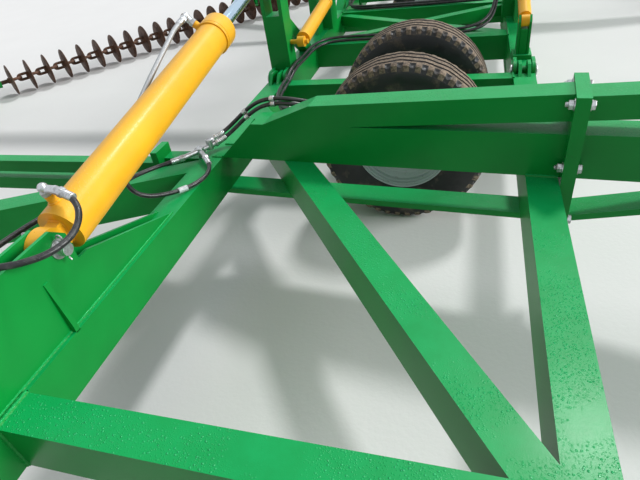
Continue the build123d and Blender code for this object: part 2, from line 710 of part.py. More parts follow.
for name, side in SIDES:
    out = side * WHEEL_ARM_OUT
    half = WHEEL_ARM_WIDE / 2
    with BuildPart() as wheel_arm:
        bar((FRONT_X, out - half, ROCKSHAFT_Z), (FRONT_X, out + half, ROCKSHAFT_Z), ROCKSHAFT_R + 15)
        beam((FRONT_X, out, ROCKSHAFT_Z), (WHEEL_X, out, WHEEL_R), WHEEL_ARM_WIDE, WHEEL_ARM_DEEP)
        bar((WHEEL_X, out - half, WHEEL_R), (WHEEL_X, out + half, WHEEL_R), 75)
        ends = sorted((side * (WHEEL_OUTS[0] - 130), side * (WHEEL_OUTS[1] + 130)))
        bar((WHEEL_X, ends[0], WHEEL_R), (WHEEL_X, ends[1], WHEEL_R), AXLE_R)
    save(wheel_arm, f"{name}_wheel_arm")

    with BuildPart() as tyres:
        for wheel_out in WHEEL_OUTS:
            tyre(WHEEL_X, side * wheel_out, WHEEL_R, WHEEL_R, TYRE_WIDE, RIM_R)
    save(tyres, f"{name}_tyres")

    with BuildPart() as rims:
        for wheel_out in WHEEL_OUTS:
            rim(WHEEL_X, side * wheel_out, WHEEL_R, RIM_R, TYRE_WIDE, -7, HUB_R, AXLE_R + PIN_GAP)
    save(rims, f"{name}_rims")

# Wings
for name, side in SIDES:
    save(wing_arm(REAR_X, TIP_REAR_X, side, True), f"{name}_rear_arm")
    save(wing_arm(FRONT_X, TIP_FRONT_X, side, False), f"{name}_front_arm")

    with BuildPart() as inner_chord:
        block((BAY_REAR, BAY_FRONT), (side * CHORD_OUT - CHORD_WIDE / 2, side * CHORD_OUT + CHORD_WIDE / 2),
              (ARM_TOP - CHORD_DEEP, ARM_TOP))
    save(inner_chord, f"{name}_inner_chord")

    taper = (OUTER_STRUT_OUT - BEND_OUT) / (TIP_OUT - ARM_WIDE / 2 - BEND_OUT)
    shift_rear = taper * (TIP_REAR_X - REAR_X)
    shift_front = taper * (TIP_FRONT_X - FRONT_X)
    with BuildPart() as outer_struts:
        block((BAY_REAR, BAY_FRONT), (side * STRUT_OUT - STRUT_WIDE / 2, side * STRUT_OUT + STRUT_WIDE / 2),
              (ARM_BOTTOM, ARM_TOP))
        half = STRUT_WIDE / 2
        slant_rear = half * (TIP_REAR_X - REAR_X) / (TIP_OUT - ARM_WIDE / 2 - BEND_OUT)
        slant_front = half * (TIP_FRONT_X - FRONT_X) / (TIP_OUT - ARM_WIDE / 2 - BEND_OUT)
        plan_plate(
            [(BAY_REAR + shift_rear - slant_rear, OUTER_STRUT_OUT - half),
             (BAY_REAR + shift_rear + slant_rear, OUTER_STRUT_OUT + half),
             (BAY_FRONT + shift_front + slant_front, OUTER_STRUT_OUT + half),
             (BAY_FRONT + shift_front - slant_front, OUTER_STRUT_OUT - half)],
            ARM_BOTTOM, ARM_DEEP, side)
    save(outer_struts, f"{name}_outer_struts")

    with BuildPart() as diagonal:
        middle_z = (ARM_BOTTOM + ARM_TOP) / 2
        rear = Vector(DIAGONAL_REAR[0], side * DIAGONAL_REAR[1], middle_z)
        front = Vector(DIAGONAL_FRONT[0], side * DIAGONAL_FRONT[1], middle_z)
        spare = (front - rear).normalized() * 200
        beam(rear - spare, front + spare, DIAGONAL_WIDE, ARM_DEEP)
        bay_out = sorted((side * (CHORD_OUT + CHORD_WIDE / 2), side * (STRUT_OUT - STRUT_WIDE / 2)))
        with Locations(((BAY_REAR + BAY_FRONT) / 2, (bay_out[0] + bay_out[1]) / 2, middle_z)):
            Box(BAY_FRONT - BAY_REAR, bay_out[1] - bay_out[0], 2 * ARM_DEEP, mode=Mode.INTERSECT)
    save(diagonal, f"{name}_diagonal")

    main_top = ARM_TOP + MAIN_DEEP
    rise = tan(radians(UPPER_RISE))
    flange_start = FLANGE_AT
    with BuildPart() as girder:
        girder_plate(
            [(15, ARM_TOP), (235, main_top), (flange_start, main_top), (flange_start, ARM_TOP)],
            MAIN_WIDE, side)
        girder_plate(
            [(UPPER_START - 260, main_top), (UPPER_START, main_top + UPPER_DEEP),
             (flange_start, main_top + UPPER_DEEP + (flange_start - UPPER_START) * rise),
             (flange_start, main_top + (flange_start - UPPER_START - 190) * rise),
             (UPPER_START + 190, main_top)],
            UPPER_WIDE, side)
        girder_plate(
            [(flange_start, FLANGE_LOW), (flange_start, FLANGE_TOP),
             (flange_start + FLANGE_THICK, FLANGE_TOP), (flange_start + FLANGE_THICK, FLANGE_LOW)],
            MAIN_WIDE + 2 * FLANGE_PROUD, side, -FLANGE_PROUD)
    save(girder, f"{name}_girder")

    with BuildPart() as lower_chord:
        girder_plate(
            [(-80, ARM_BOTTOM - LOWER_THICK), (-80, ARM_BOTTOM), (flange_start, ARM_BOTTOM),
             (flange_start, ARM_BOTTOM - LOWER_THICK)],
            LOWER_WIDE, side)
    save(lower_chord, f"{name}_lower_chord")

    joint = flange_start + FLANGE_THICK
    lower_lift = tan(radians(LOWER_RISE))
    meet = joint + (ARM_TOP - ARM_BOTTOM - 20) / lower_lift
    upper_base = main_top + (joint - UPPER_START - 190) * rise
    leg = chain_point("front", FRONT_LEG_OUT, side)
    reach = girder_plane(side).to_local_coords(leg).X + LEG_SIZE / 2
    with BuildPart() as front_outrigger:
        girder_plate(
            [(joint, FLANGE_LOW), (joint, FLANGE_TOP), (joint + FLANGE_THICK, FLANGE_TOP),
             (joint + FLANGE_THICK, FLANGE_LOW)],
            MAIN_WIDE + 2 * FLANGE_PROUD, side, -FLANGE_PROUD)
        girder_plate(
            [(joint, ARM_TOP), (joint, main_top), (reach, main_top), (reach, ARM_TOP)],
            MAIN_WIDE, side)
        girder_plate(
            [(joint, upper_base), (joint, upper_base + UPPER_DEEP),
             (UPPER_BEND, upper_base + UPPER_DEEP + (UPPER_BEND - joint) * rise),
             (reach - 250, main_top), (reach - 700, main_top),
             (UPPER_BEND, upper_base + (UPPER_BEND - joint) * rise)],
            UPPER_WIDE, side)
        girder_plate(
            [(joint, ARM_BOTTOM), (meet, ARM_TOP), (meet + 150, ARM_TOP), (joint, ARM_BOTTOM - LOWER_THICK)],
            LOWER_WIDE, side)
        saddle_leg("front", FRONT_LEG_OUT, ARM_TOP, LEG_SIZE, side)
    save(front_outrigger, f"{name}_front_outrigger")

    start = Vector(REAR_X - 40, side * REAR_LEG_START, middle_z)
    finish = chain_point("rear", REAR_LEG_OUT, side, middle_z)
    finish += (finish - start).normalized() * LEG_SIZE / 2
    with BuildPart() as rear_outrigger:
        beam(start, finish, 125, ARM_DEEP)
        saddle_leg("rear", REAR_LEG_OUT, ARM_BOTTOM + 20, LEG_SIZE, side)
        with Locations((REAR_X, side * REAR_LEG_START, middle_z)):
            Box(ARM_WIDE, 4 * ARM_DEEP, 2 * ARM_DEEP, mode=Mode.SUBTRACT)
    save(rear_outrigger, f"{name}_rear_outrigger")

    arm_face = REAR_X - ARM_WIDE / 2
    with BuildPart() as rear_chords:
        inner, outer = side * REAR_CHORD_OUT, side * (REAR_CHORD_OUT + REAR_CHORD_WIDE)
        block((arm_face - 225, arm_face), (inner, side * (REAR_CHORD_OUT + 85)), (ARM_BOTTOM, ARM_TOP))
        block((arm_face - 265, arm_face - 225), (inner, outer), (ARM_BOTTOM - 20, ARM_TOP + 60))
        for low, high in REAR_CHORD_Z:
            block((arm_face - REAR_CHORD_LENGTH, arm_face - 260), (side * (REAR_CHORD_OUT + 65), outer), (low, high))
        block((arm_face - REAR_CHORD_LENGTH - 14, arm_face - REAR_CHORD_LENGTH + 1),
              (side * (REAR_CHORD_OUT + 55), outer), (ARM_BOTTOM - 10, ARM_TOP + 10))
    save(rear_chords, f"{name}_rear_chords")

    with BuildPart() as tip_beam:
        half = ARM_WIDE / 2
        ends = [chain_point(end, TIP_OUT, side).X for end in ("rear", "front")]
        block((ends[0] - 75, ends[1] + 75), (side * TIP_OUT - half, side * TIP_OUT + half),
              (ARM_BOTTOM, ARM_TOP))
        for end in ("rear", "front"):
            saddle_leg(end, TIP_OUT, ARM_BOTTOM + 20, LEG_SIZE, side)
        block((CASTOR_X - 90, CASTOR_X + 90), (side * (TIP_OUT - half), side * (CASTOR_OUT - 70)), (560, 700))
        bar((CASTOR_X, side * CASTOR_OUT, SOCKET_LOW), (CASTOR_X, side * CASTOR_OUT, SOCKET_TOP), 60)
        bar((CASTOR_X, side * CASTOR_OUT, CROWN_LOW), (CASTOR_X, side * CASTOR_OUT, SOCKET_TOP + CROWN_THICK),
            KINGPIN_R + PIN_GAP, Mode.SUBTRACT)
    save(tip_beam, f"{name}_tip_beam")

    # Castor fork, tyre and rim
    wheel_x = CASTOR_X - CASTOR_TRAIL
    cheek = TIP_WHEEL_WIDE / 2 + 12
    with BuildPart() as castor_fork:
        centre = side * CASTOR_OUT
        block((wheel_x - 50, CASTOR_X + 60), (centre - cheek - FORK_THICK, centre + cheek + FORK_THICK),
              (CROWN_LOW, CROWN_LOW + CROWN_THICK))
        for shift in (-1, 1):
            inner = centre + shift * cheek
            block((wheel_x - 50, wheel_x + 50), sorted((inner, inner + shift * FORK_THICK)),
                  (TIP_WHEEL_R - 40, CROWN_LOW + 1))
        bar((CASTOR_X, centre, CROWN_LOW + 1), (CASTOR_X, centre, SOCKET_TOP + 30), KINGPIN_R)
        bar((CASTOR_X, centre, SOCKET_TOP + 2), (CASTOR_X, centre, SOCKET_TOP + 20), 45)
        bar((wheel_x, centre - cheek - FORK_THICK - 12, TIP_WHEEL_R),
            (wheel_x, centre + cheek + FORK_THICK + 12, TIP_WHEEL_R), 16)
    save(castor_fork, f"{name}_castor_fork")

    with BuildPart() as tip_tyre:
        tyre(wheel_x, side * CASTOR_OUT, TIP_WHEEL_R, TIP_WHEEL_R, TIP_WHEEL_WIDE, TIP_RIM_R)
    save(tip_tyre, f"{name}_tip_tyre")

    with BuildPart() as tip_rim:
        rim(wheel_x, side * CASTOR_OUT, TIP_WHEEL_R, TIP_RIM_R, TIP_WHEEL_WIDE, -7, 40, 16 + PIN_GAP)
    save(tip_rim, f"{name}_tip_rim")

    save(fold_barrel(side), f"{name}_fold_barrel")
    save(fold_rod(side), f"{name}_fold_rod")

# Disc chains
for end in ("rear", "front"):
    for name, side in SIDES:
        save(disc_chain(end, side), f"{end}_{name}_disc_chain")

for name, side in SIDES:
    with BuildPart() as hoses:
        for route in (BASE_HOSE, ROD_HOSE, WING_HOSE):
            hose(route, side)
        hose(WING_HOSE, side, SECOND_HOSE)
        ends = [Vector(x, side * out, z) for x, out, z in TEE]
        bar(*ends, FITTING_R)
        x, out, z = TEE_BRANCH
        bar((x, side * out, z), (ROD_HOSE[-1][0], side * ROD_HOSE[-1][1], ROD_HOSE[-1][2]), FITTING_R - 2)
        block((x - 12, x + 12), (side * (out - 14), side * (out + 14)), (ARM_TOP, z))
        lift = Vector(0, 0, SECOND_HOSE[2])
        bar(ends[1] - lift * 0.7, ends[1] + lift * 1.7, FITTING_R + 3)
        for shift in ((0, 0, 0), SECOND_HOSE):
            x, out, z = (value + move for value, move in zip(WING_HOSE[0], shift))
            bar((ends[1].X, ends[1].Y, z), (x, side * out, z), FITTING_R - 2)
    save(hoses, f"{name}_hoses")

with BuildPart() as centre_hoses:
    for side in (-1, 1):
        hose(CENTRE_HOSE, side)
        hose(CENTRE_HOSE, side, SECOND_HOSE)
        x, out, z = CENTRE_HOSE[-1]
        face = FRONT_X - KING_SIZE / 2
        block((face - 26, face), (side * (out - 40), side * (out + 24)), (z - 30, z + 54))
save(centre_hoses, "centre_hoses")
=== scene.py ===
"""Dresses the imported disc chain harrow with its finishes, tyres, wheels, chains, hoses, bolts and welds."""

import json
from math import cos, hypot, pi, radians, sin, tau

import bmesh
import bpy
from bpy.props import FloatProperty, FloatVectorProperty, IntProperty
from mathutils import Matrix, Vector


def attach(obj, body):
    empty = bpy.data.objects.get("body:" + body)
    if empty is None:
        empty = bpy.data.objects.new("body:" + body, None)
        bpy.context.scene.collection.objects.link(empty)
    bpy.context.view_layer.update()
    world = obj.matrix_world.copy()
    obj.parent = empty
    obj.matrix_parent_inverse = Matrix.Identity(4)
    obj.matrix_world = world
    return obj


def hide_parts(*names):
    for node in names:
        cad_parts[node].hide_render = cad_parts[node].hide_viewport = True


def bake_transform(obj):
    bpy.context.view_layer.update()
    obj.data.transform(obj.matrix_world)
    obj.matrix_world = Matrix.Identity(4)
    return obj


bl_info = {
    "name": "Disc Chain Harrow",
    "version": (1, 0, 0),
    "blender": (4, 5, 0),
    "location": "View3D > Sidebar > Harrow",
    "description": "Dresses the packed frame of a folding disc chain harrow",
    "category": "Object",
}

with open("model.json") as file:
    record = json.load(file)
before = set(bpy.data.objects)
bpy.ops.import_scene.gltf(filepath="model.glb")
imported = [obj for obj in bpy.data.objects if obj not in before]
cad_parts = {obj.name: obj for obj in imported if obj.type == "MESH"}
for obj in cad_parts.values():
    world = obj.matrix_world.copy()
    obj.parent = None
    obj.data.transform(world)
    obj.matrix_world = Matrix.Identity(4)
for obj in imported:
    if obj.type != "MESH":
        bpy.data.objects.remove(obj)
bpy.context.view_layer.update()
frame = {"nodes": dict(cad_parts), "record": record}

SIDES = (("near", -1), ("far", 1))

# Frame, in metres, as in the part's source
ARM_TOP = 0.72
ARM_LOW = 0.52
REAR_X = -2.045
FRONT_X = -0.383
ARM_WIDE = 0.13
GIRDER_START = (-1.995, 2.545)
GIRDER_SKEW = radians(5.06)
FLANGE_AT = 1.692
FLANGE_THICK = 0.027
CYLINDER_BASE = (3.70, 1.00)
CYLINDER_EYE = (1.21, 1.42)
BARREL_LENGTH = 1.62
WHEEL_X = -1.08
WHEEL_RADIUS = 0.505
TYRE_WIDE = 0.275
RIM_RADIUS = 0.286
WHEEL_OUTS = (1.21, 1.90)
CASTOR = (-1.215, 6.95)
CASTOR_TRAIL = 0.14
TIP_WHEEL_RADIUS = 0.24
TIP_TYRE_WIDE = 0.15
TIP_RIM_RADIUS = 0.12
CHAIN_HEIGHT = 0.2
CHAIN_LINE = {"rear": (-6.86, 0.7), "front": (4.12, -0.647)}
CHAIN_REACH = (0.27, 7.43)
LEG_OUT = {"rear": 3.675, "front": 2.848}
DISC_PITCH = 0.24
DISC_MARGIN = 0.16
DISC_RADIUS = 0.194
DISC_THICK = 0.006
SHAFT_RADIUS = 0.025
LINKS_PER_PITCH = 2
LINK_END = 0.038
LINK_LEANS = (-14, 18)
HOSE_RADIUS = 0.011


# Mesh work, with a bolt's head and nut as (along, radius) at a thread of 1 across

NO_RADIUS = 1e-6
WASHER = 0.16
HEAD = ((WASHER, 0), (WASHER, 0.9), (0.72, 0.9), (0.82, 0.76), (0.82, 0))
THREAD = ((1, 0), (1, 0.5), (1.06, 0.52), (1.1, 0.46), (1.15, 0.52), (1.19, 0.46), (1.24, 0.52), (1.28, 0.46),
          (1.33, 0.52), (1.37, 0.46), (1.42, 0.52), (1.46, 0.46), (1.55, 0.42), (1.55, 0))
NUT = ((WASHER, 0), (WASHER, 0.8), (0.24, 0.9), (0.95, 0.9), (1.03, 0.8), (1.03, 0))


def circle(middle, across, up, radius, count):
    return [middle + across * (radius * cos(tau * n / count)) + up * (radius * sin(tau * n / count))
            for n in range(count)]


def scaled(profile, along, radius):
    """A profile of (along, radius) shares at its real sizes."""
    return [(along * a, radius * r) for a, r in profile]


def rectangle(wide, high):
    """The corners of a rectangle, from half its sizes."""
    return (-wide, -high), (wide, -high), (wide, high), (-wide, high)


class Shape:
    """Points and faces gathered for one piece, with a finish number per face."""

    def __init__(self):
        self.points, self.faces, self.marks = [], [], []

    def face(self, corners, mark=0):
        corners = tuple(dict.fromkeys(corners))
        if len(corners) > 2:
            self.faces.append(corners)
            self.marks.append(mark)

    def rings(self, rings, mark=0, loop=False, closed=True):
        """Joins rings of point numbers with faces."""
        pairs = list(zip(rings, rings[1:])) + ([(rings[-1], rings[0])] if loop else [])
        for one, two in pairs:
            for n in range(len(one) if closed else len(one) - 1):
                after = (n + 1) % len(one)
                self.face((one[n], one[after], two[after], two[n]), mark)

    def ring(self, points):
        start = len(self.points)
        self.points.extend(points)
        return list(range(start, len(self.points)))

    def turned(self, profile, origin, axis, sides=32, mark=0):
        """Turns (along, radius) pairs round an axis."""
        origin, axis = Vector(origin), Vector(axis).normalized()
        across = axis.orthogonal().normalized()
        up = axis.cross(across)
        rings = []
        for along, radius in profile:
            middle = origin + axis * along
            rings.append(self.ring([middle]) * sides if radius < NO_RADIUS else
                         self.ring(circle(middle, across, up, radius, sides)))
        self.rings(rings, mark)

    def bar(self, seat, axis, low, high, radius, sides, mark=0):
        """A straight round bar along axis, from low to high as measured from seat."""
        self.turned([(low, 0), (low, radius), (high, radius), (high, 0)], seat, axis, sides, mark)

    def tube(self, path, radius, sides=12, mark=0, loop=False, waves=None):
        """A round bar along a path; waves gives a factor on the radius for each point."""
        path = [Vector(point) for point in path]
        count = len(path)
        rings = []
        side = None
        for n, point in enumerate(path):
            before = path[n - 1] if n or loop else path[0]
            after = path[(n + 1) % count] if n < count - 1 or loop else path[-1]
            along = (after - before).normalized()
            side = along.orthogonal() if side is None else side - along * side.dot(along)
            side.normalize()
            up = along.cross(side)
            rings.append(self.ring(circle(point, side, up, radius * (waves[n] if waves else 1), sides)))
        self.rings(rings, mark, loop)
        if not loop:
            self.face(rings[0], mark)
            self.face(rings[-1], mark)

    def slab(self, outline, depth, mark=0):
        """A flat plate from its outline's points and the vector of its thickness."""
        low = self.ring([Vector(point) for point in outline])
        high = self.ring([Vector(point) + Vector(depth) for point in outline])
        self.rings([low, high], mark)
        self.face(low, mark)
        self.face(high, mark)

    def bolt_head(self, seat, axis, size, mark=0, profile=HEAD):
        """A washer and a hexagon head, or what the profile gives, standing out from seat."""
        self.bar(seat, axis, 0, size * WASHER, size * 1.1, 24, mark)
        self.turned(scaled(profile, size, size), seat, axis, 6, mark)

    def bolt_nut(self, seat, axis, size, mark=0):
        """A washer, a hexagon nut and the threaded end through it."""
        self.bolt_head(seat, axis, size, mark, NUT)
        self.turned(scaled(THREAD, size, size), seat, axis, 16, mark)


def new_object(shape, name, finishes):
    mesh = bpy.data.meshes.new(name)
    mesh.from_pydata([tuple(point) for point in shape.points], [], shape.faces)
    for made in finishes:
        mesh.materials.append(FINISHES[made].material)
    thing = bpy.data.objects.new(name, mesh)
    bpy.context.scene.collection.objects.link(thing)
    return thing


def piece(shape, name, body, slot, finishes=(), edge=0.0, turn=35):
    """Makes the object from its shape, with rounded edges where edge is given, and rides it on a body."""
    thing = new_object(shape, name, finishes or (slot,))
    mesh = thing.data
    mesh.polygons.foreach_set("material_index", shape.marks)
    work = bmesh.new()
    work.from_mesh(mesh)
    bmesh.ops.recalc_face_normals(work, faces=work.faces)
    work.to_mesh(mesh)
    work.free()
    mesh.shade_smooth()
    mesh.set_sharp_from_angle(angle=radians(turn))
    if edge:
        round_edges(thing, edge)
    if body:
        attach(thing, body)
    return thing


def round_edges(thing, wide):
    bevel = thing.modifiers.new("rounded_edges", "BEVEL")
    bevel.width = wide
    bevel.segments = 2
    bevel.limit_method = "ANGLE"
    bevel.angle_limit = radians(40)


def smooth_line(name, points):
    """The line of a NURBS spline that has these control points."""
    curve = bpy.data.curves.new(name, "CURVE")
    curve.dimensions = "3D"
    curve.resolution_u = 10
    spline = curve.splines.new("NURBS")
    spline.points.add(len(points) - 1)
    for control, place in zip(spline.points, points):
        control.co = (*place, 1)
    spline.order_u = 3
    spline.use_endpoint_u = True
    thing = bpy.data.objects.new(name, curve)
    bpy.context.scene.collection.objects.link(thing)
    bpy.context.view_layer.update()
    mesh = bpy.data.meshes.new_from_object(thing)
    line = [vertex.co.copy() for vertex in mesh.vertices]
    bpy.data.objects.remove(thing)
    bpy.data.curves.remove(curve)
    bpy.data.meshes.remove(mesh)
    return line


def mirrored(point, side):
    """A point from its (x, distance out, z) on one side."""
    return Vector((point[0], side * point[1], point[2]))


# Finishes

FINISHES = {}


class Finish:
    """A material of Blender's nodes, in object coordinates in metres."""

    def __init__(self, name, **sockets):
        FINISHES[name] = self
        self.material = bpy.data.materials.new(name)
        self.material.use_nodes = True
        self.tree = self.material.node_tree
        self.shader = self.tree.nodes["Principled BSDF"]
        self.place = self.tree.nodes.new("ShaderNodeTexCoord")
        for socket, value in sockets.items():
            self.shader.inputs[socket.replace("_", " ")].default_value = value

    def node(self, kind, inputs=(), **settings):
        node = self.tree.nodes.new(kind)
        for setting, value in settings.items():
            setattr(node, setting, value)
        for socket, value in inputs:
            if isinstance(value, bpy.types.NodeSocket):
                self.tree.links.new(value, node.inputs[socket])
            else:
                node.inputs[socket].default_value = value
        return node

    def noise(self, scale, detail=3.0, roughness=0.55, stretch=(1, 1, 1)):
        place = self.place.outputs["Object"]
        if stretch != (1, 1, 1):
            place = self.node("ShaderNodeMapping", [("Vector", place), ("Scale", stretch)]).outputs[0]
        return self.node("ShaderNodeTexNoise", [("Vector", place), ("Scale", scale), ("Detail", detail),
                                                ("Roughness", roughness)]).outputs["Fac"]

    def cells(self, scale):
        """Distance from the nearest cell's middle."""
        return self.node("ShaderNodeTexVoronoi", [("Vector", self.place.outputs["Object"]), ("Scale", scale)],
                         feature="F1").outputs["Distance"]

    def step(self, value, low, high, start=0.0, end=1.0):
        """Goes smoothly from start to end while the value goes from low to high."""
        return self.node("ShaderNodeMapRange", [("Value", value), ("From Min", low), ("From Max", high),
                                                ("To Min", start), ("To Max", end)],
                         interpolation_type="SMOOTHSTEP").outputs["Result"]

    def upward(self):
        """Near 1 on faces that look up at rest."""
        height = self.node("ShaderNodeSeparateXYZ", [("Vector", self.place.outputs["Normal"])]).outputs["Z"]
        return self.step(height, 0.35, 0.9)

    def times(self, one, two, operation="MULTIPLY"):
        """The product of two values, or what the operation makes of them."""
        return self.node("ShaderNodeMath", [(0, one), (1, two)], operation=operation).outputs[0]

    def mix(self, share, one, two):
        """Goes from the first colour to the second with the share."""
        one, two = (value if isinstance(value, bpy.types.NodeSocket) else (*value, 1) for value in (one, two))
        return self.node("ShaderNodeMix", [(0, share), (6, one), (7, two)], data_type="RGBA").outputs[2]

    def colour(self, value):
        self.tree.links.new(value, self.shader.inputs["Base Color"])

    def tint(self, value, low, high, one, two):
        """Colours from one to two while the value goes from low to high."""
        self.colour(self.mix(self.step(value, low, high), one, two))

    def gloss(self, *values, socket="Roughness"):
        """Takes what step takes."""
        self.tree.links.new(self.step(*values), self.shader.inputs[socket])

    def relief(self, *bumps):
        """Bumps as (height, distance), laid one over the other."""
        inputs = []
        for height, distance in bumps:
            bump = self.node("ShaderNodeBump", [("Height", height), ("Distance", distance)] + inputs)
            inputs = [("Normal", bump.outputs[0])]
        for socket in ("Normal", "Coat Normal"):
            self.tree.links.new(bump.outputs[0], self.shader.inputs[socket])


def darker(colour, share):
    return tuple(value * share for value in colour)


def wet_paint(name, deep, pale, drop, dew_and_sky_sheen_share, wetness):
    """Gloss paint with a thin layer of dew on its upward faces, paler there and with fine round drops; the paler
    tint is partly dew and partly painted sky reflection, and the drops' lighter colour is a painted highlight.
    """
    coat = Finish(name, Roughness=0.42, Specular_IOR_Level=0.2, Coat_Weight=0.08, Coat_Roughness=0.16)
    top = coat.upward()
    patch = coat.step(coat.noise(4.2, 4), 0.36, 0.64)
    wet = coat.times(coat.times(patch, top), wetness)
    large = coat.times(coat.step(coat.cells(78), 0.3, 0.1), wet)
    small = coat.times(coat.step(coat.cells(165), 0.4, 0.16), wet)
    shade = coat.mix(coat.step(coat.noise(2.2, 5), 0.3, 0.7), deep, darker(deep, 0.8))
    # Painted sky reflection: upward faces go toward the pale colour, partly for the dew and partly as painted sky
    # reflection.
    dew_and_sky_sheen = coat.times(coat.step(coat.noise(9, 5, 0.65), 0.25, 0.75, 0.7, 1.0), dew_and_sky_sheen_share)
    coloured = coat.mix(coat.times(top, dew_and_sky_sheen), shade, pale)
    specks = coat.times(coat.step(coat.noise(46, 5, 0.7), 0.66, 0.74), coat.step(coat.noise(2.6, 3), 0.48, 0.66))
    coloured = coat.mix(coat.times(specks, 0.6), coloured, (0.03, 0.03, 0.018))
    # Painted highlight: the large drops are mixed toward the lighter drop colour.
    coat.colour(coat.mix(coat.times(large, 0.3), coloured, drop))
    coat.gloss(coat.times(large, small, "MAXIMUM"), 0.0, 1.0, 0.4, 0.16)
    coat.relief((coat.noise(420, 2), 0.00012), (small, 0.0006), (large, 0.0015))


def make_finishes(colours):
    # The drop colours (third colour in each call) are painted highlights on the dew drops.
    # The pale colours (second colour in each call) are partly dew and partly painted sky reflection on upward
    # faces; on the yellow barrel this also paints a highlight along its top.
    wet_paint("green_paint", tuple(colours.green), tuple(colours.mint_dew_and_sky_sheen), (0.1, 0.62, 0.32), 0.7, 1.0)
    wet_paint("yellow_paint", tuple(colours.yellow), (0.98, 0.6, 0.1), (1.0, 0.8, 0.42), 0.35, 0.45)

    chrome = Finish("chrome", Metallic=1.0, Roughness=0.1)
    runs = chrome.noise(26, 4, 0.6, (1, 0.25, 1))
    chrome.tint(runs, 0.4, 0.7, (0.55, 0.7, 0.82), (0.42, 0.56, 0.68))
    chrome.gloss(runs, 0.35, 0.7, 0.07, 0.22)
    chrome.relief((chrome.cells(140), 0.0004))

    wall = Finish("tyre", Roughness=0.55)
    mud = wall.step(wall.noise(9, 6, 0.65), 0.52, 0.7)
    wall.colour(wall.mix(mud, tuple(colours.rubber), darker(colours.mud, 0.45)))
    wall.gloss(wall.noise(6, 4), 0.3, 0.7, 0.35, 0.75)
    wall.relief((wall.noise(160, 4), 0.0006), (mud, 0.0015))

    tread = Finish("muddy_tread", Roughness=0.7)
    mud = tread.step(tread.noise(16, 7, 0.7), 0.3, 0.46)
    crumbs = tread.step(tread.noise(70, 6, 0.75), 0.4, 0.62)
    soil = tread.mix(crumbs, darker(colours.mud, 1.45), darker(colours.mud, 0.45))
    tread.colour(tread.mix(mud, tuple(colours.rubber), soil))
    tread.gloss(mud, 0.0, 1.0, 0.5, 0.9)
    tread.relief((tread.noise(110, 5, 0.7), 0.0016), (mud, 0.002))

    wheel = Finish("rim_paint", Roughness=0.42, Coat_Weight=0.2)
    spots = wheel.step(wheel.noise(55, 6, 0.75), 0.6, 0.72)
    washed = wheel.mix(wheel.noise(4, 4), (0.46, 0.52, 0.53), (0.34, 0.4, 0.41))
    wheel.colour(wheel.mix(spots, washed, (0.09, 0.06, 0.035)))
    wheel.relief((wheel.noise(90, 4), 0.0006), (spots, 0.001))

    rust = Finish("disc_steel", Roughness=0.62, Metallic=0.0)
    patches = rust.noise(14, 7, 0.7)
    deep = rust.mix(rust.step(patches, 0.35, 0.65), tuple(colours.rust), darker(colours.rust, 0.4))
    bare = rust.step(rust.noise(38, 5, 0.75), 0.6, 0.74)
    rust.colour(rust.mix(bare, deep, (0.2, 0.17, 0.15)))
    rust.gloss(bare, 0.0, 1.0, 0.1, 0.7, socket="Metallic")
    rust.gloss(patches, 0.3, 0.7, 0.5, 0.8)
    rust.relief((rust.noise(230, 5, 0.7), 0.0009), (patches, 0.0012))

    zinc = Finish("zinc", Metallic=0.9, Roughness=0.35)
    bloom = zinc.noise(45, 5, 0.6)
    zinc.tint(bloom, 0.35, 0.7, (0.62, 0.64, 0.66), (0.34, 0.34, 0.33))
    zinc.gloss(bloom, 0.3, 0.7, 0.25, 0.5)
    zinc.relief((zinc.noise(300, 3), 0.0003))

    rubber = Finish("hose", Roughness=0.38)
    wear = rubber.noise(30, 5, 0.6)
    rubber.tint(wear, 0.45, 0.75, (0.012, 0.013, 0.014), (0.05, 0.052, 0.05))
    rubber.gloss(wear, 0.3, 0.7, 0.28, 0.5)
    rubber.relief((rubber.noise(500, 3), 0.0003), (rubber.step(rubber.cells(120), 0.35, 0.15), 0.0008))

    label = Finish("pale_label", Roughness=0.5)
    label.tint(label.noise(90, 3), 0.45, 0.6, (0.62, 0.66, 0.68), (0.4, 0.44, 0.46))

    sleeve = Finish("hose_sleeve", Roughness=0.45, Metallic=0.6)
    weave = sleeve.node("ShaderNodeTexWave", [("Vector", sleeve.place.outputs["Object"]), ("Scale", 90.0),
                                              ("Distortion", 1.5)], bands_direction="DIAGONAL").outputs["Fac"]
    sleeve.colour(sleeve.mix(weave, (0.5, 0.52, 0.53), (0.27, 0.28, 0.29)))
    sleeve.relief((weave, 0.0008))


# What a user would change

class HarrowSizes(bpy.types.PropertyGroup):
    edge_radius: FloatProperty(name="Edge radius", description="Rounding of the box sections' edges",
                               default=0.008, subtype="DISTANCE", unit="LENGTH")
    weld_radius: FloatProperty(name="Weld radius", description="Half the width of a weld bead",
                               default=0.008, subtype="DISTANCE", unit="LENGTH")
    flange_bolt: FloatProperty(name="Flange bolt", description="Thread diameter of the girder's flange bolts",
                               default=0.022, subtype="DISTANCE", unit="LENGTH")
    groove_depth: FloatProperty(name="Groove depth", description="Depth of the tyres' grooves",
                                default=0.012, subtype="DISTANCE", unit="LENGTH")
    disc_dish: FloatProperty(name="Disc dish", description="How far a disc's rim stands off its middle",
                             default=0.016, subtype="DISTANCE", unit="LENGTH")
    link_bar: FloatProperty(name="Link bar", description="Radius of the bar that a chain link is bent from",
                            default=0.018, subtype="DISTANCE", unit="LENGTH")
    tread_blocks: IntProperty(name="Tread blocks", description="Shoulder blocks round each main tyre", default=46)


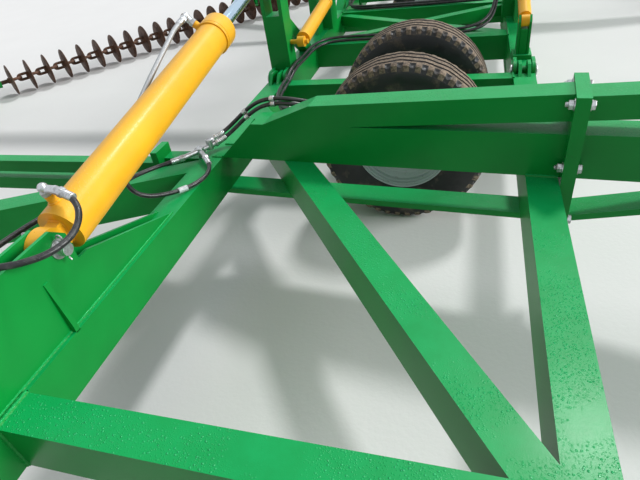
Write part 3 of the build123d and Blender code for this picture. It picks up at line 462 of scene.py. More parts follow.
class HarrowColours(bpy.types.PropertyGroup):
    green: FloatVectorProperty(name="Green", description="Frame paint", default=(0.001, 0.25, 0.036),
                               subtype="COLOR")
    # Mint is the frame paint under dew, paler partly from the dew and partly as painted sky reflection.
    mint_dew_and_sky_sheen: FloatVectorProperty(name="Mint", description="Frame paint under dew", default=(0.006, 0.46, 0.13),
                              subtype="COLOR")
    yellow: FloatVectorProperty(name="Yellow", description="Cylinder paint", default=(0.92, 0.45, 0.02),
                                subtype="COLOR")
    rust: FloatVectorProperty(name="Rust", description="Discs and chain links", default=(0.13, 0.055, 0.026),
                              subtype="COLOR")
    rubber: FloatVectorProperty(name="Rubber", description="Tyres", default=(0.009, 0.01, 0.0105), subtype="COLOR")
    mud: FloatVectorProperty(name="Mud", description="Soil on the tyres", default=(0.19, 0.145, 0.105),
                             subtype="COLOR")


class HarrowOperator:
    bl_options = {"REGISTER", "UNDO"}

    def execute(self, context):
        self.make(context.scene.harrow_sizes, context.scene.harrow_colours)
        return {"FINISHED"}


# Stage: the suns as (name, strength, spread in degrees, heading), and the sky as it lights and as it is seen

CAMERA_AT = (-0.70, -4.70, 1.90)
CAMERA_AXES = ((0.959, 0.253, -0.127), (-0.056, 0.610, 0.790), (0.277, -0.751, 0.599))
CAMERA_LENS = 27.56
FLOOR_HALF = 40.0
FLOOR_CELLS = 16
FLOOR_HEIGHT = -0.002
SUNS = (("sun", 1.5, 8, (-0.35, -0.8, -1.25)), ("front_fill", 3.1, 25, (-1.0, -0.15, -0.35)))
SKY_LIGHT, SKY_SEEN = 0.42, 0.95


class HARROW_OT_stage(HarrowOperator, bpy.types.Operator):
    """Adds the pale floor, the light and the camera"""
    bl_idname = "harrow.stage"
    bl_label = "Stage"

    def make(self, sizes, colours):
        scene = bpy.context.scene
        scene.view_settings.view_transform = "Standard"
        self.add_camera(scene)
        self.add_floor()
        self.add_light(scene)

    def add_camera(self, scene):
        lens = bpy.data.cameras.new("camera")
        lens.lens = CAMERA_LENS
        lens.sensor_width = 36
        lens.clip_end = 200
        camera = bpy.data.objects.new("camera", lens)
        scene.collection.objects.link(camera)
        turn = Matrix(CAMERA_AXES).transposed()
        camera.matrix_world = Matrix.Translation(CAMERA_AT) @ turn.to_quaternion().to_matrix().to_4x4()
        scene.camera = camera

    def add_floor(self):
        ground = Finish("pale_floor", Roughness=0.9)
        ground.colour(ground.mix(ground.noise(1.2, 5), (0.74, 0.74, 0.73), (0.79, 0.79, 0.78)))
        ground.relief((ground.noise(40, 4), 0.001))
        shape = Shape()
        places = [FLOOR_HALF * (2 * n / FLOOR_CELLS - 1) for n in range(FLOOR_CELLS + 1)]
        shape.rings([shape.ring([Vector((x, y, FLOOR_HEIGHT)) for x in places]) for y in places], closed=False)
        new_object(shape, "floor", ("pale_floor",))

    def add_light(self, scene):
        for name, energy, spread, heading in SUNS:
            light = bpy.data.lights.new(name, "SUN")
            light.energy = energy
            light.angle = radians(spread)
            lamp = bpy.data.objects.new(name, light)
            lamp.rotation_euler = Vector(heading).to_track_quat("-Z", "Y").to_euler()
            scene.collection.objects.link(lamp)
        world = bpy.data.worlds.new("pale_sky")
        scene.world = world
        world.use_nodes = True
        tree = world.node_tree
        background = tree.nodes["Background"]
        background.inputs["Color"].default_value = (0.93, 0.96, 1.0, 1)
        path = tree.nodes.new("ShaderNodeLightPath")
        seen = path.outputs["Is Camera Ray"]
        for ray in ("Is Glossy Ray", "Is Transmission Ray"):
            either = tree.nodes.new("ShaderNodeMath")
            either.operation = "MAXIMUM"
            tree.links.new(seen, either.inputs[0])
            tree.links.new(path.outputs[ray], either.inputs[1])
            seen = either.outputs[0]
        level = tree.nodes.new("ShaderNodeMapRange")
        level.inputs["To Min"].default_value = SKY_LIGHT
        level.inputs["To Max"].default_value = SKY_SEEN
        tree.links.new(seen, level.inputs["Value"])
        tree.links.new(level.outputs["Result"], background.inputs["Strength"])


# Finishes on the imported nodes

ROUNDED_SLOTS = ("green_paint", "yellow_paint", "zinc", "disc_steel")


class HARROW_OT_finishes(HarrowOperator, bpy.types.Operator):
    """Makes the finishes and puts them on the frame's nodes, with rounded edges"""
    bl_idname = "harrow.finishes"
    bl_label = "Finishes"

    def make(self, sizes, colours):
        make_finishes(colours)
        for part in frame["record"]["subparts"]:
            node = frame["nodes"][part["node"]]
            slot = part["material_slot"]
            node.data.materials.clear()
            node.data.materials.append(FINISHES[slot].material)
            node.data.polygons.foreach_set("material_index", [0] * len(node.data.polygons))
            if slot in ROUNDED_SLOTS and not part["node"].endswith(("chain", "hoses")):
                flat = node.modifiers.new("joined_faces", "DECIMATE")
                flat.decimate_type = "DISSOLVE"
                flat.angle_limit = radians(1.5)
                round_edges(node, sizes.edge_radius if slot == "green_paint" else 0.003)


# Welds, by the members' distances out and lowest heights

OUTER_STRUT = (4.07, 4.20, ARM_LOW)
INNER_CHORD = (1.40, 1.50, 0.60)
CENTRE_STRUT = (0.46, 0.59, 0.536)
POST_FOOT = (1.215, 0.075)
LEG_FOOT = (0.065, 0.1)
GIRDER_WIDE = 0.15
GIRDER_CLEAR = 0.07


def weld(shape, corners, radius, closed=True):
    """A rippled bead through corners."""
    corners = [Vector(corner) for corner in corners]
    runs = list(zip(corners, corners[1:] + corners[:1])) if closed else list(zip(corners, corners[1:]))
    for start, end in runs:
        steps = max(4, int((end - start).length / 0.006))
        path = [start.lerp(end, n / steps) for n in range(steps + 1)]
        waves = [1.0 + 0.16 * sin(n * 2.1) + 0.07 * sin(n * 0.7) for n in range(steps + 1)]
        shape.tube(path, radius, 8, waves=waves)


def section(x, member, side):
    """The four corners of a box section's end on a face of constant X."""
    near, far, low = member
    return [mirrored((x, out, z), side) for out, z in ((near, low), (far, low), (far, ARM_TOP), (near, ARM_TOP))]


class HARROW_OT_welds(HarrowOperator, bpy.types.Operator):
    """Adds the weld beads where members meet"""
    bl_idname = "harrow.welds"
    bl_label = "Welds"

    def make(self, sizes, colours):
        bead = sizes.weld_radius
        inner_rear, inner_front = REAR_X + ARM_WIDE / 2, FRONT_X - ARM_WIDE / 2
        for name, side in SIDES:
            shape = Shape()
            for x in (inner_rear, inner_front):
                for member in (OUTER_STRUT, INNER_CHORD):
                    weld(shape, section(x, member, side), bead)
            for x in (REAR_X, FRONT_X):
                low, high = x - ARM_WIDE / 2, x + ARM_WIDE / 2
                for inset in (0.0, GIRDER_WIDE):
                    ends = [girder_point((edge - GIRDER_START[0]) / cos(GIRDER_SKEW), inset, ARM_TOP, side)
                            for edge in (low + (GIRDER_CLEAR if x == REAR_X else 0), high)]
                    weld(shape, ends, bead, closed=False)
            piece(shape, f"{name}_welds", f"{name}_wing", "green_paint")
        shape = Shape()
        for name, side in SIDES:
            for x in (inner_rear, inner_front):
                weld(shape, section(x, CENTRE_STRUT, side), bead)
            out, half = POST_FOOT
            foot = [mirrored((REAR_X + dx, out + dy, ARM_TOP), side) for dx, dy in rectangle(half, half)]
            weld(shape, foot, bead)
        for x in (REAR_X, FRONT_X):
            weld(shape, [Vector((x + dx, dy, ARM_TOP)) for dx, dy in rectangle(*LEG_FOOT)], bead)
        piece(shape, "centre_welds", "centre", "green_paint")


def girder_point(along, inset, z, side):
    """A point of the girder: distance along it, distance in from its outer face, and height."""
    x = GIRDER_START[0] + along * cos(GIRDER_SKEW) + inset * sin(GIRDER_SKEW)
    out = GIRDER_START[1] + along * sin(GIRDER_SKEW) - inset * cos(GIRDER_SKEW)
    return Vector((x, side * out, z))


# Bolts

FLANGE_INSETS = (-0.032, 0.182)
FLANGE_HEIGHTS = (0.53, 0.785, 1.06)


class HARROW_OT_bolts(HarrowOperator, bpy.types.Operator):
    """Bolts the girder's flange"""
    bl_idname = "harrow.bolts"
    bl_label = "Flange bolts"

    def make(self, sizes, colours):
        size = sizes.flange_bolt
        for name, side in SIDES:
            shape = Shape()
            along = Vector((cos(GIRDER_SKEW), side * sin(GIRDER_SKEW), 0))
            for inset in FLANGE_INSETS:
                for z in FLANGE_HEIGHTS:
                    shape.bolt_nut(girder_point(FLANGE_AT, inset, z, side), -along, size)
                    shape.bolt_head(girder_point(FLANGE_AT + 2 * FLANGE_THICK, inset, z, side), along, size)
            piece(shape, f"{name}_flange_bolts", f"{name}_wing", "zinc")


# Tyres and wheels

BLOCK_STEPS = 6
BLOCK_DROPS = (1.0, 1.0, 0.22, 0.0, 0.0, 0.22)
TREAD_MIDDLES = (-0.42, 0.0, 0.42)
# Half a tyre's section from the bead to the tread, as shares of half its width and of its wall's height
TYRE_SIDE = (
    ("wall", -0.72, 0), ("wall", -0.80, 0.05), ("wall", -0.92, 0.22), ("wall", -0.985, 0.40), ("wall", -1.0, 0.52),
    ("wall", -0.985, 0.66), ("wall", -0.95, 0.78), ("edge", -0.93, 0.82), ("block", -0.90, 0.88),
    ("block", -0.86, 0.955), ("block", -0.80, 0.98), ("block", -0.72, 0.992), ("rib", -0.66, 0.996))


def tip_wheel_centre(side):
    return CASTOR[0] - CASTOR_TRAIL, side * CASTOR[1], TIP_WHEEL_RADIUS


def main_wheel_centres(side):
    return [(WHEEL_X, side * out, WHEEL_RADIUS) for out in WHEEL_OUTS]


def tyre_columns(wide, radius, rim, depth):
    """Columns of a tyre's section as (across, radius, kind), from one bead to the other."""
    half, wall = wide / 2, radius - rim
    outer = [(across, rim + share * wall, kind) for kind, across, share in TYRE_SIDE]
    tread = []
    for middle in TREAD_MIDDLES:
        tread += [(middle - 0.085, radius, "lip"), (middle - 0.055, radius - depth, "groove"),
                  (middle + 0.055, radius - depth, "groove"), (middle + 0.085, radius, "lip")]
    whole = outer + tread + [(-across, high, kind) for across, high, kind in reversed(outer)]
    return [(across * half, high, kind) for across, high, kind in whole]


def add_tyre(shape, centre, wide, rim, depth, blocks):
    """A tyre with shoulder blocks of six steps each and waving grooves."""
    steps = blocks * BLOCK_STEPS
    columns = tyre_columns(wide, centre[2], rim, depth)
    rings = []
    for n in range(steps):
        turn = tau * n / steps
        wave = (abs((n % 12) - 6) / 6 - 0.5) * wide * 0.05
        points = []
        for across, high, kind in columns:
            shift = wave if kind in ("lip", "groove") else 0.0
            drop = depth * BLOCK_DROPS[n % BLOCK_STEPS] if kind == "block" else 0.0
            points.append(Vector((centre[0] + (high - drop) * sin(turn), centre[1] + across + shift,
                                  centre[2] + (high - drop) * cos(turn))))
        rings.append(shape.ring(points))
    kinds = [kind for across, high, kind in columns]
    for n, (one, two) in enumerate(zip(rings, rings[1:] + rings[:1])):
        for c in range(len(columns) - 1):
            near = kinds[c:c + 2]
            dark = "wall" in near or "groove" in near or ("block" in near and n % BLOCK_STEPS in (0, 1, 5))
            shape.face((one[c], one[c + 1], two[c + 1], two[c]), 0 if dark else 1)
        shape.face((one[0], two[0], two[-1], one[-1]), 0)


class HARROW_OT_tyres(HarrowOperator, bpy.types.Operator):
    """Replaces the plain tyres with grooved ones"""
    bl_idname = "harrow.tyres"
    bl_label = "Tyres"

    def make(self, sizes, colours):
        finishes = "tyre", "muddy_tread"
        for name, side in SIDES:
            shape = Shape()
            for centre in main_wheel_centres(side):
                add_tyre(shape, centre, TYRE_WIDE, RIM_RADIUS, sizes.groove_depth, sizes.tread_blocks)
            thing = piece(shape, f"{name}_grooved_tyres", f"{name}_wheels", "tyre", finishes, turn=30)
            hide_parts(f"{name}_tyres")
            shape = Shape()
            add_tyre(shape, tip_wheel_centre(side), TIP_TYRE_WIDE, TIP_RIM_RADIUS, sizes.groove_depth * 0.6,
                     sizes.tread_blocks // 2)
            thing = piece(shape, f"{name}_grooved_tip_tyre", f"{name}_tip_wheel", "tyre", finishes, turn=30)
            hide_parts(f"{name}_tip_tyre")


HUB_FACE = ((0.80, 0), (0.80, 0.55), (0.74, 0.62), (0.66, 0.64), (0.66, 0.95), (0.60, 1), (0.42, 1.04))
RIM_FACE = (
    (0.40, 0.50), (0.44, 0.53), (0.44, 0.57), (0.34, 0.62), (0.30, 0.70), (0.34, 0.73), (0.34, 0.76), (0.44, 0.80),
    (0.52, 0.83), (0.54, 0.865), (0.70, 0.885), (0.74, 0.91), (0.88, 0.925), (0.92, 0.955), (1, 0.965), (1, 0.998))


def rim_profile(rim, half, hub):
    """One face of a wheel from hub to flange, as (along, radius): steps, rings and a dished disc."""
    return scaled(HUB_FACE, half, hub) + scaled(RIM_FACE, half, rim)


def add_wheel(shape, centre, rim, wide, hub, nuts, nut_size):
    """A wheel's two faces in one turned shape, with a ring of nuts on each."""
    half = wide * 0.36
    face = rim_profile(rim, half, hub)
    shape.turned(face + [(-along, radius) for along, radius in reversed(face)], centre, (0, 1, 0), 72)
    for way in (-1, 1):
        for n in range(nuts):
            turn = tau * (n + 0.5) / nuts
            reach = rim * 0.43
            seat = Vector(centre) + Vector((reach * cos(turn), way * half * 0.41, reach * sin(turn)))
            shape.bolt_nut(seat, (0, way, 0), nut_size, 1)


class HARROW_OT_wheels(HarrowOperator, bpy.types.Operator):
    """Replaces the plain rims with stepped ones and their nuts"""
    bl_idname = "harrow.wheels"
    bl_label = "Wheels"

    def make(self, sizes, colours):
        finishes = "rim_paint", "zinc"
        for name, side in SIDES:
            shape = Shape()
            for centre in main_wheel_centres(side):
                add_wheel(shape, centre, RIM_RADIUS, TYRE_WIDE, 0.085, 8, 0.014)
            thing = piece(shape, f"{name}_stepped_rims", f"{name}_wheels", "rim_paint", finishes, turn=24)
            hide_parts(f"{name}_rims")
            shape = Shape()
            add_wheel(shape, tip_wheel_centre(side), TIP_RIM_RADIUS, TIP_TYRE_WIDE, 0.038, 5, 0.008)
            thing = piece(shape, f"{name}_stepped_tip_rim", f"{name}_tip_wheel", "rim_paint", finishes, turn=24)
            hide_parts(f"{name}_tip_rim")


# Disc chains

def chain_point(end, out, side):
    apex, slope = CHAIN_LINE[end]
    return Vector((apex + slope * out, side * out, CHAIN_HEIGHT))


def disc_places(end):
    """Distances along a chain to its discs, as in the part's source."""
    stretch = hypot(1, CHAIN_LINE[end][1])
    length = (CHAIN_REACH[1] - CHAIN_REACH[0]) * stretch
    leg = (LEG_OUT[end] - CHAIN_REACH[0]) * stretch
    place = leg + DISC_PITCH / 2
    while place - DISC_PITCH > DISC_MARGIN:
        place -= DISC_PITCH
    places = []
    while place < length - DISC_MARGIN:
        places.append(place)
        place += DISC_PITCH
    return places, leg, length


def add_disc(shape, middle, along, dish):
    """A dished disc with a thin edge and a welded hub."""
    face = [(0, 0.0), (0, 0.3), (0.12, 0.55), (0.38, 0.78), (0.72, 0.93), (0.97, 0.995), (1.05, 1.0)]
    half = DISC_THICK / 2
    front = [(dish * a - half + 0.002, DISC_RADIUS * r) for a, r in face]
    back = [(dish * a + half + 0.002, DISC_RADIUS * min(r, 0.985)) for a, r in reversed(face)]
    shape.turned(front + back, middle, along, 48)
    shape.turned([(-0.03, 0), (-0.03, 0.03), (-0.024, 0.036), (-0.008, 0.04), (-0.003, 0.05), (0.007, 0.05),
                  (0.012, 0.04), (0.026, 0.036), (0.03, 0.03), (0.03, 0)], middle, along, 20)


def add_link(shape, middle, along, across, bar, pitch):
    """A stadium-shaped link that lies in the plane of along and across."""
    end = LINK_END
    straight = (pitch / 2 + bar) - end
    path = []
    for way in (1, -1):
        for n in range(7):
            turn = -pi / 2 + pi * n / 6
            path.append(middle + along * (way * (straight + end * cos(turn))) + across * (way * end * sin(turn)))
    shape.tube(path, bar, 8, loop=True)


class HARROW_OT_chains(HarrowOperator, bpy.types.Operator):
    """Replaces the plain disc chains with dished discs on linked chain"""
    bl_idname = "harrow.chains"
    bl_label = "Disc chains"

    def make(self, sizes, colours):
        pitch = DISC_PITCH / LINKS_PER_PITCH
        for end in CHAIN_LINE:
            for name, side in SIDES:
                start = chain_point(end, CHAIN_REACH[0], side)
                along = (chain_point(end, CHAIN_REACH[1], side) - start).normalized()
                level = Vector((0, 0, 1)).cross(along)
                places, leg, length = disc_places(end)
                shape = Shape()
                for place in places:
                    add_disc(shape, start + along * place, along, sizes.disc_dish)
                for place in places[:-1]:
                    if abs(place + DISC_PITCH / 2 - leg) < pitch:
                        self.add_journal(shape, start, along, place, place + DISC_PITCH)
                        continue
                    for n in range(LINKS_PER_PITCH):
                        across = Vector((0, 0, 1)) if n % 2 else level
                        lean = Matrix.Rotation(radians(LINK_LEANS[n % 2]), 3, along)
                        add_link(shape, start + along * (place + (n + 0.5) * pitch), along, lean @ across,
                                 sizes.link_bar, pitch)
                self.add_journal(shape, start, along, 0, places[0])
                self.add_journal(shape, start, along, places[-1], length)
                thing = piece(shape, f"{end}_{name}_linked_discs", f"{end}_{name}_chain", "disc_steel", turn=30)
                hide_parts(f"{end}_{name}_disc_chain")

    def add_journal(self, shape, start, along, low, high):
        """The plain shaft that turns in a bearing or saddle."""
        shape.bar(start + along * low, along, 0, high - low, SHAFT_RADIUS * 0.99, 24)


# Hoses, as (x, out, z) in metres: base port to tee, rod port to tee, and the tee past the hinge to the middle

BASE_HOSE = (
    (-2.005, 3.585, 1.152), (-1.945, 3.600, 1.146), (-1.895, 3.645, 1.112), (-1.880, 3.720, 1.080),
    (-1.900, 3.815, 1.076), (-1.960, 3.893, 1.091), (-2.045, 3.930, 1.101), (-2.135, 3.920, 1.086),
    (-2.225, 3.870, 1.040), (-2.300, 3.790, 0.985), (-2.335, 3.695, 0.955), (-2.322, 3.590, 0.953),
    (-2.288, 3.480, 0.955),
    (-2.265, 3.340, 0.930), (-2.270, 3.180, 0.880), (-2.290, 3.020, 0.825), (-2.310, 2.870, 0.785),
    (-2.280, 2.760, 0.765), (-2.225, 2.690, 0.760), (-2.165, 2.632, 0.760))
ROD_HOSE = (
    (-2.160, 2.245, 1.372), (-2.168, 2.340, 1.352), (-2.160, 2.460, 1.310), (-2.152, 2.590, 1.266),
    (-2.150, 2.730, 1.210), (-2.152, 2.880, 1.140), (-2.160, 3.005, 1.060), (-2.172, 3.085, 0.960),
    (-2.170, 3.105, 0.865), (-2.135, 3.065, 0.790), (-2.070, 2.970, 0.748), (-2.000, 2.870, 0.734),
    (-1.965, 2.770, 0.734), (-1.985, 2.675, 0.742), (-2.040, 2.615, 0.757))
FOLD_HOSE = (
    (-2.045, 2.462, 0.760), (-2.000, 2.400, 0.775), (-1.945, 2.360, 0.815), (-1.875, 2.345, 0.870),
    (-1.790, 2.352, 0.922), (-1.700, 2.372, 0.948), (-1.600, 2.385, 0.950), (-1.505, 2.368, 0.925),
    (-1.450, 2.300, 0.880), (-1.465, 2.215, 0.835), (-1.540, 2.160, 0.800), (-1.640, 2.120, 0.772),
    (-1.740, 2.060, 0.755), (-1.825, 1.970, 0.745), (-1.880, 1.850, 0.738), (-1.915, 1.710, 0.736),
    (-1.930, 1.570, 0.734), (-1.935, 1.460, 0.736), (-1.932, 1.365, 0.760), (-1.928, 1.272, 0.772),
    (-1.935, 1.140, 0.760), (-1.950, 1.040, 0.742), (-1.958, 0.930, 0.734), (-1.956, 0.810, 0.733),
    (-1.942, 0.700, 0.734), (-1.908, 0.610, 0.733), (-1.845, 0.550, 0.733), (-1.760, 0.528, 0.732),
    (-1.640, 0.522, 0.733), (-1.490, 0.525, 0.732), (-1.330, 0.520, 0.733), (-1.170, 0.522, 0.732),
    (-1.010, 0.517, 0.733), (-0.860, 0.512, 0.734), (-0.730, 0.492, 0.740), (-0.640, 0.440, 0.752),
    (-0.580, 0.360, 0.778), (-0.550, 0.270, 0.820), (-0.535, 0.190, 0.880), (-0.520, 0.120, 0.945),
    (-0.502, 0.070, 1.005))
SECOND_HOSE = (-0.014, -0.012, 0.024)
TEE = ((-2.165, 2.632, 0.760), (-2.068, 2.494, 0.760))
TEE_BRANCH = (-2.105, 2.547, 0.760)
LABEL_AT = (-2.03, 2.91, 0.74)
CLAMPS_AT = ((-1.875, 2.345, 0.87), (-1.70, 2.372, 0.948))
PORTS = ((3.560, 10), (2.200, 45))
BARREL_RADIUS = 0.085
PORT_HEIGHT = 0.03
ELBOW_HEIGHT = 0.03
ELBOW_END = 0.024


def barrel_axis(side):
    base, eye = (Vector((REAR_X, side * out, z)) for out, z in (CYLINDER_BASE, CYLINDER_EYE))
    return base, eye, (eye - base).normalized()


def port(index, side):
    """A hose port's foot on the barrel's axis and the direction it stands out in."""
    out, lean = PORTS[index]
    base, eye, along = barrel_axis(side)
    upright = Vector((1, 0, 0)).cross(along) * -side
    outward = upright * cos(radians(lean)) - Vector((sin(radians(lean)), 0, 0))
    return base + along * ((CYLINDER_BASE[0] - out) / abs(along.y)), outward


def ferrule(shape, seat, along):
    """A crimped hose end: hexagon nut, collar and ribbed sleeve."""
    shape.turned([(-0.006, 0), (-0.006, 0.0175), (-0.003, 0.0195), (0.016, 0.0195), (0.019, 0.0175), (0.019, 0)],
                 seat, along, 6)
    ribs = [(0.019, 0), (0.019, 0.0158)]
    for n in range(4):
        ribs += [(0.025 + n * 0.01, 0.0164), (0.029 + n * 0.01, 0.0146)]
    shape.turned(ribs + [(0.066, 0.016), (0.069, 0.0125), (0.069, 0)], seat, along, 20)


def elbow(shape, index, side, route):
    """A plated elbow over the barrel's own, from its boss to the hose."""
    root, outward = port(index, side)
    foot = root + outward * (BARREL_RADIUS + PORT_HEIGHT)
    top = foot + outward * ELBOW_HEIGHT
    start, after = (mirrored(point, side) for point in route[:2])
    leave = (after - start).normalized()
    knee = start - leave * ELBOW_END
    shape.turned([(0, 0), (0, 0.02), (0.003, 0.0225), (0.017, 0.0225), (0.02, 0.02), (0.02, 0)], foot, outward, 6)
    shape.bar(foot, outward, 0, 0.0372, 0.0178, 20)
    for middle, radius in ((top, 0.0187), (knee, 0.0168)):
        shape.turned([(radius * cos(pi * n / 10), radius * sin(pi * n / 10)) for n in range(11)],
                     middle, (0, 0, 1), 20)
    for ends in ((top - outward * 0.006, knee), (knee - leave * 0.006, start + leave * 0.002)):
        shape.tube(ends, 0.0158, 20)


def nearest(line, place):
    """The line's inner point nearest to a place, and the way the line runs there."""
    n = min(range(1, len(line) - 1), key=lambda k: (line[k] - place).length)
    return line[n], (line[n + 1] - line[n]).normalized()


def hose_piece(name, points, side, swap, sleeve=0.0):
    """A hose on its smooth line; sleeve is its covered share."""
    line = smooth_line(name, [mirrored(point, side) for point in points])
    shape = Shape()
    shape.tube(line, HOSE_RADIUS, 14)
    if sleeve:
        cover = line[:int(len(line) * sleeve)]
        shape.tube(cover, HOSE_RADIUS * 1.14, 14, 1)
    thing = piece(shape, name, None, "hose", ("hose", "hose_sleeve"))
    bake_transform(thing)
    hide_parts(*swap)
    return line


class HARROW_OT_hoses(HarrowOperator, bpy.types.Operator):
    """Replaces the hoses' solids with smooth hoses, their fittings and clamps"""
    bl_idname = "harrow.hoses"
    bl_label = "Hoses"

    def make(self, sizes, colours):
        for name, side in SIDES:
            swap = (f"{name}_hoses",)
            base = hose_piece(f"{name}_base_hose", BASE_HOSE, side, swap)
            rod = hose_piece(f"{name}_rod_hose", ROD_HOSE, side, swap, sleeve=0.5)
            pair = []
            for number, shift in enumerate(((0, 0, 0), SECOND_HOSE)):
                route = [tuple(a + b for a, b in zip(point, shift)) for point in FOLD_HOSE]
                pair.append(hose_piece(f"{name}_fold_hose_{number + 1}", route, side,
                                       swap + ("centre_hoses",)))
            self.add_fittings(name, side, base, rod, pair)
            self.add_clamps(name, side, rod, pair)

    def add_clamps(self, name, side, rod, pair):
        """A pale label on the rod hose and two plated clamps round the fold hoses."""
        label, clamps = Shape(), Shape()
        seat, run = nearest(rod, mirrored(LABEL_AT, side))
        label.bar(seat, run, -0.024, 0.024, HOSE_RADIUS * 1.3, 20)
        piece(label, f"{name}_hose_label", f"{name}_wing", "hose", ("pale_label",))
        for place in CLAMPS_AT:
            for line in pair:
                seat, run = nearest(line, mirrored(place, side))
                clamps.turned([(-0.014, 0), (-0.014, 0.0135), (-0.011, 0.0155), (-0.002, 0.0155), (0, 0.0145),
                               (0.002, 0.0155), (0.011, 0.0155), (0.014, 0.0135), (0.014, 0)], seat, run, 24)
        piece(clamps, f"{name}_hose_clamps", f"{name}_wing", "zinc")

    def add_fittings(self, name, side, base, rod, pair):
        shape = Shape()
        for index, line, route in ((0, base, BASE_HOSE), (1, rod, ROD_HOSE)):
            elbow(shape, index, side, route)
            ferrule(shape, line[0], line[3] - line[0])
        piece(shape, f"{name}_port_fittings", f"{name}_barrel", "zinc")
        shape = Shape()
        ends = [mirrored(point, side) for point in TEE]
        branch = mirrored(TEE_BRANCH, side)
        shape.tube([ends[0], ends[0].lerp(ends[1], 0.5), ends[1]], 0.0145, 16)
        shape.tube([branch, branch.lerp(rod[-1], 0.5), rod[-1]], 0.013, 16)
        for half, low, high in (((0.022, 0.022), -0.018, 0.018), ((0.012, 0.014), ARM_TOP - branch.z, 0)):
            shape.slab([branch + Vector((dx, dy, low)) for dx, dy in rectangle(*half)], (0, 0, high - low))
        ferrule(shape, ends[0], base[-4] - base[-1])
        ferrule(shape, rod[-1], rod[-4] - rod[-1])
        for line in pair:
            ferrule(shape, line[0], line[3] - line[0])
            shape.tube([ends[1] + Vector((0, 0, line[0].z - ends[1].z)), line[0]], 0.013, 16)
        shape.tube([ends[1] - Vector((0, 0, 0.017)), ends[1] + Vector((0, 0, 0.04))], 0.018, 16)
        piece(shape, f"{name}_tee", f"{name}_wing", "zinc", edge=0.002)


# Cylinders

# The small cylinders as (x, the outer and inner eye's (out, z), radius)
LINKS = ((-1.89, ((1.200, 0.930), (0.060, 1.060)), 0.050), (FRONT_X, ((1.100, 0.950), (0.160, 1.171)), 0.040))
GLAND_RADIUS = 0.0935
ROD_RADIUS = 0.035
LUG_FACE = 0.044
LUG_ENDS = (3.08, 4.24)
LUG_RIB_OUT = 3.8
PIN_PROUD = 0.04
PIN_RADIUS = 0.025
FORK_FACE = 0.095
NECK = (0.026, 0.0455)
NECK_END = 0.082
# Front link blocks, as half the width and the outline as (out, z)
LINK_BLOCKS = ((0.0255, ((1.042, 0.72), (1.066, 0.905), (1.134, 0.905), (1.146, 0.72))),
               (0.06, ((1.01, 0.718), (1.015, 0.75), (1.165, 0.75), (1.17, 0.718))))


GLAND = ((-1, 0.9), (-0.975, 0.985), (-0.95, 1), (-0.86, 1), (-0.85, 0.972), (-0.83, 0.972), (-0.82, 1), (-0.04, 1),
         (0.02, 0.965), (0.05, 0.62))
WIPER = ((0.1, 1.25), (0.16, 1.12), (0.16, 1.01))


def gland_profile(radius, rod, length):
    """A gland's collar with a fine groove at its root and a wiper seal at the mouth."""
    return scaled(GLAND, length, radius) + scaled(WIPER, length, rod)


def pin_head(shape, seat, axis, radius):
    """A pin's round head with its keeper plate and bolt."""
    seat, axis = Vector(seat), Vector(axis).normalized()
    shape.turned([(0, 0), (0, radius * 1.35), (0.003, radius * 1.42), (0.01, radius * 1.42), (0.013, radius * 1.3),
                  (0.013, radius * 0.3), (0.010, radius * 0.22), (0.010, 0)], seat, axis, 32)
    drop = Vector((0, 0, -radius * 1.9))
    level = axis.cross(Vector((0, 0, 1))).normalized()
    plate = [seat + drop + level * a + Vector((0, 0, b)) for a, b in rectangle(radius, radius * 0.5)]
    shape.slab(plate, axis * 0.008)
    for way in (-0.6, 0.6):
        shape.bolt_head(seat + drop + level * (radius * way) + axis * 0.008, axis, 0.009)


def split_pin_end(shape, seat, axis):
    """A pin's plain end with a washer on the lug and a split pin through it."""
    shape.bar(seat, axis, -0.001, 0.006, PIN_RADIUS * 1.45, 32)
    end = PIN_PROUD
    shape.turned([(0, 0), (0, PIN_RADIUS * 1.02), (end - 0.003, PIN_RADIUS * 1.02),
                  (end + 0.002, PIN_RADIUS * 0.85), (end + 0.002, 0)], seat, axis, 32)
    hole = seat + axis * (end - 0.014)
    up = Vector((0, 0, 1))
    shape.tube([hole + up * 0.034, hole - up * 0.036, hole - up * 0.046 + axis * 0.006], 0.0036, 10)
    ring = [hole + up * (0.044 - 0.012 * cos(tau * n / 20)) + axis * (0.011 * sin(tau * n / 20))
            for n in range(20)]
    shape.tube(ring, 0.0034, 10, loop=True)


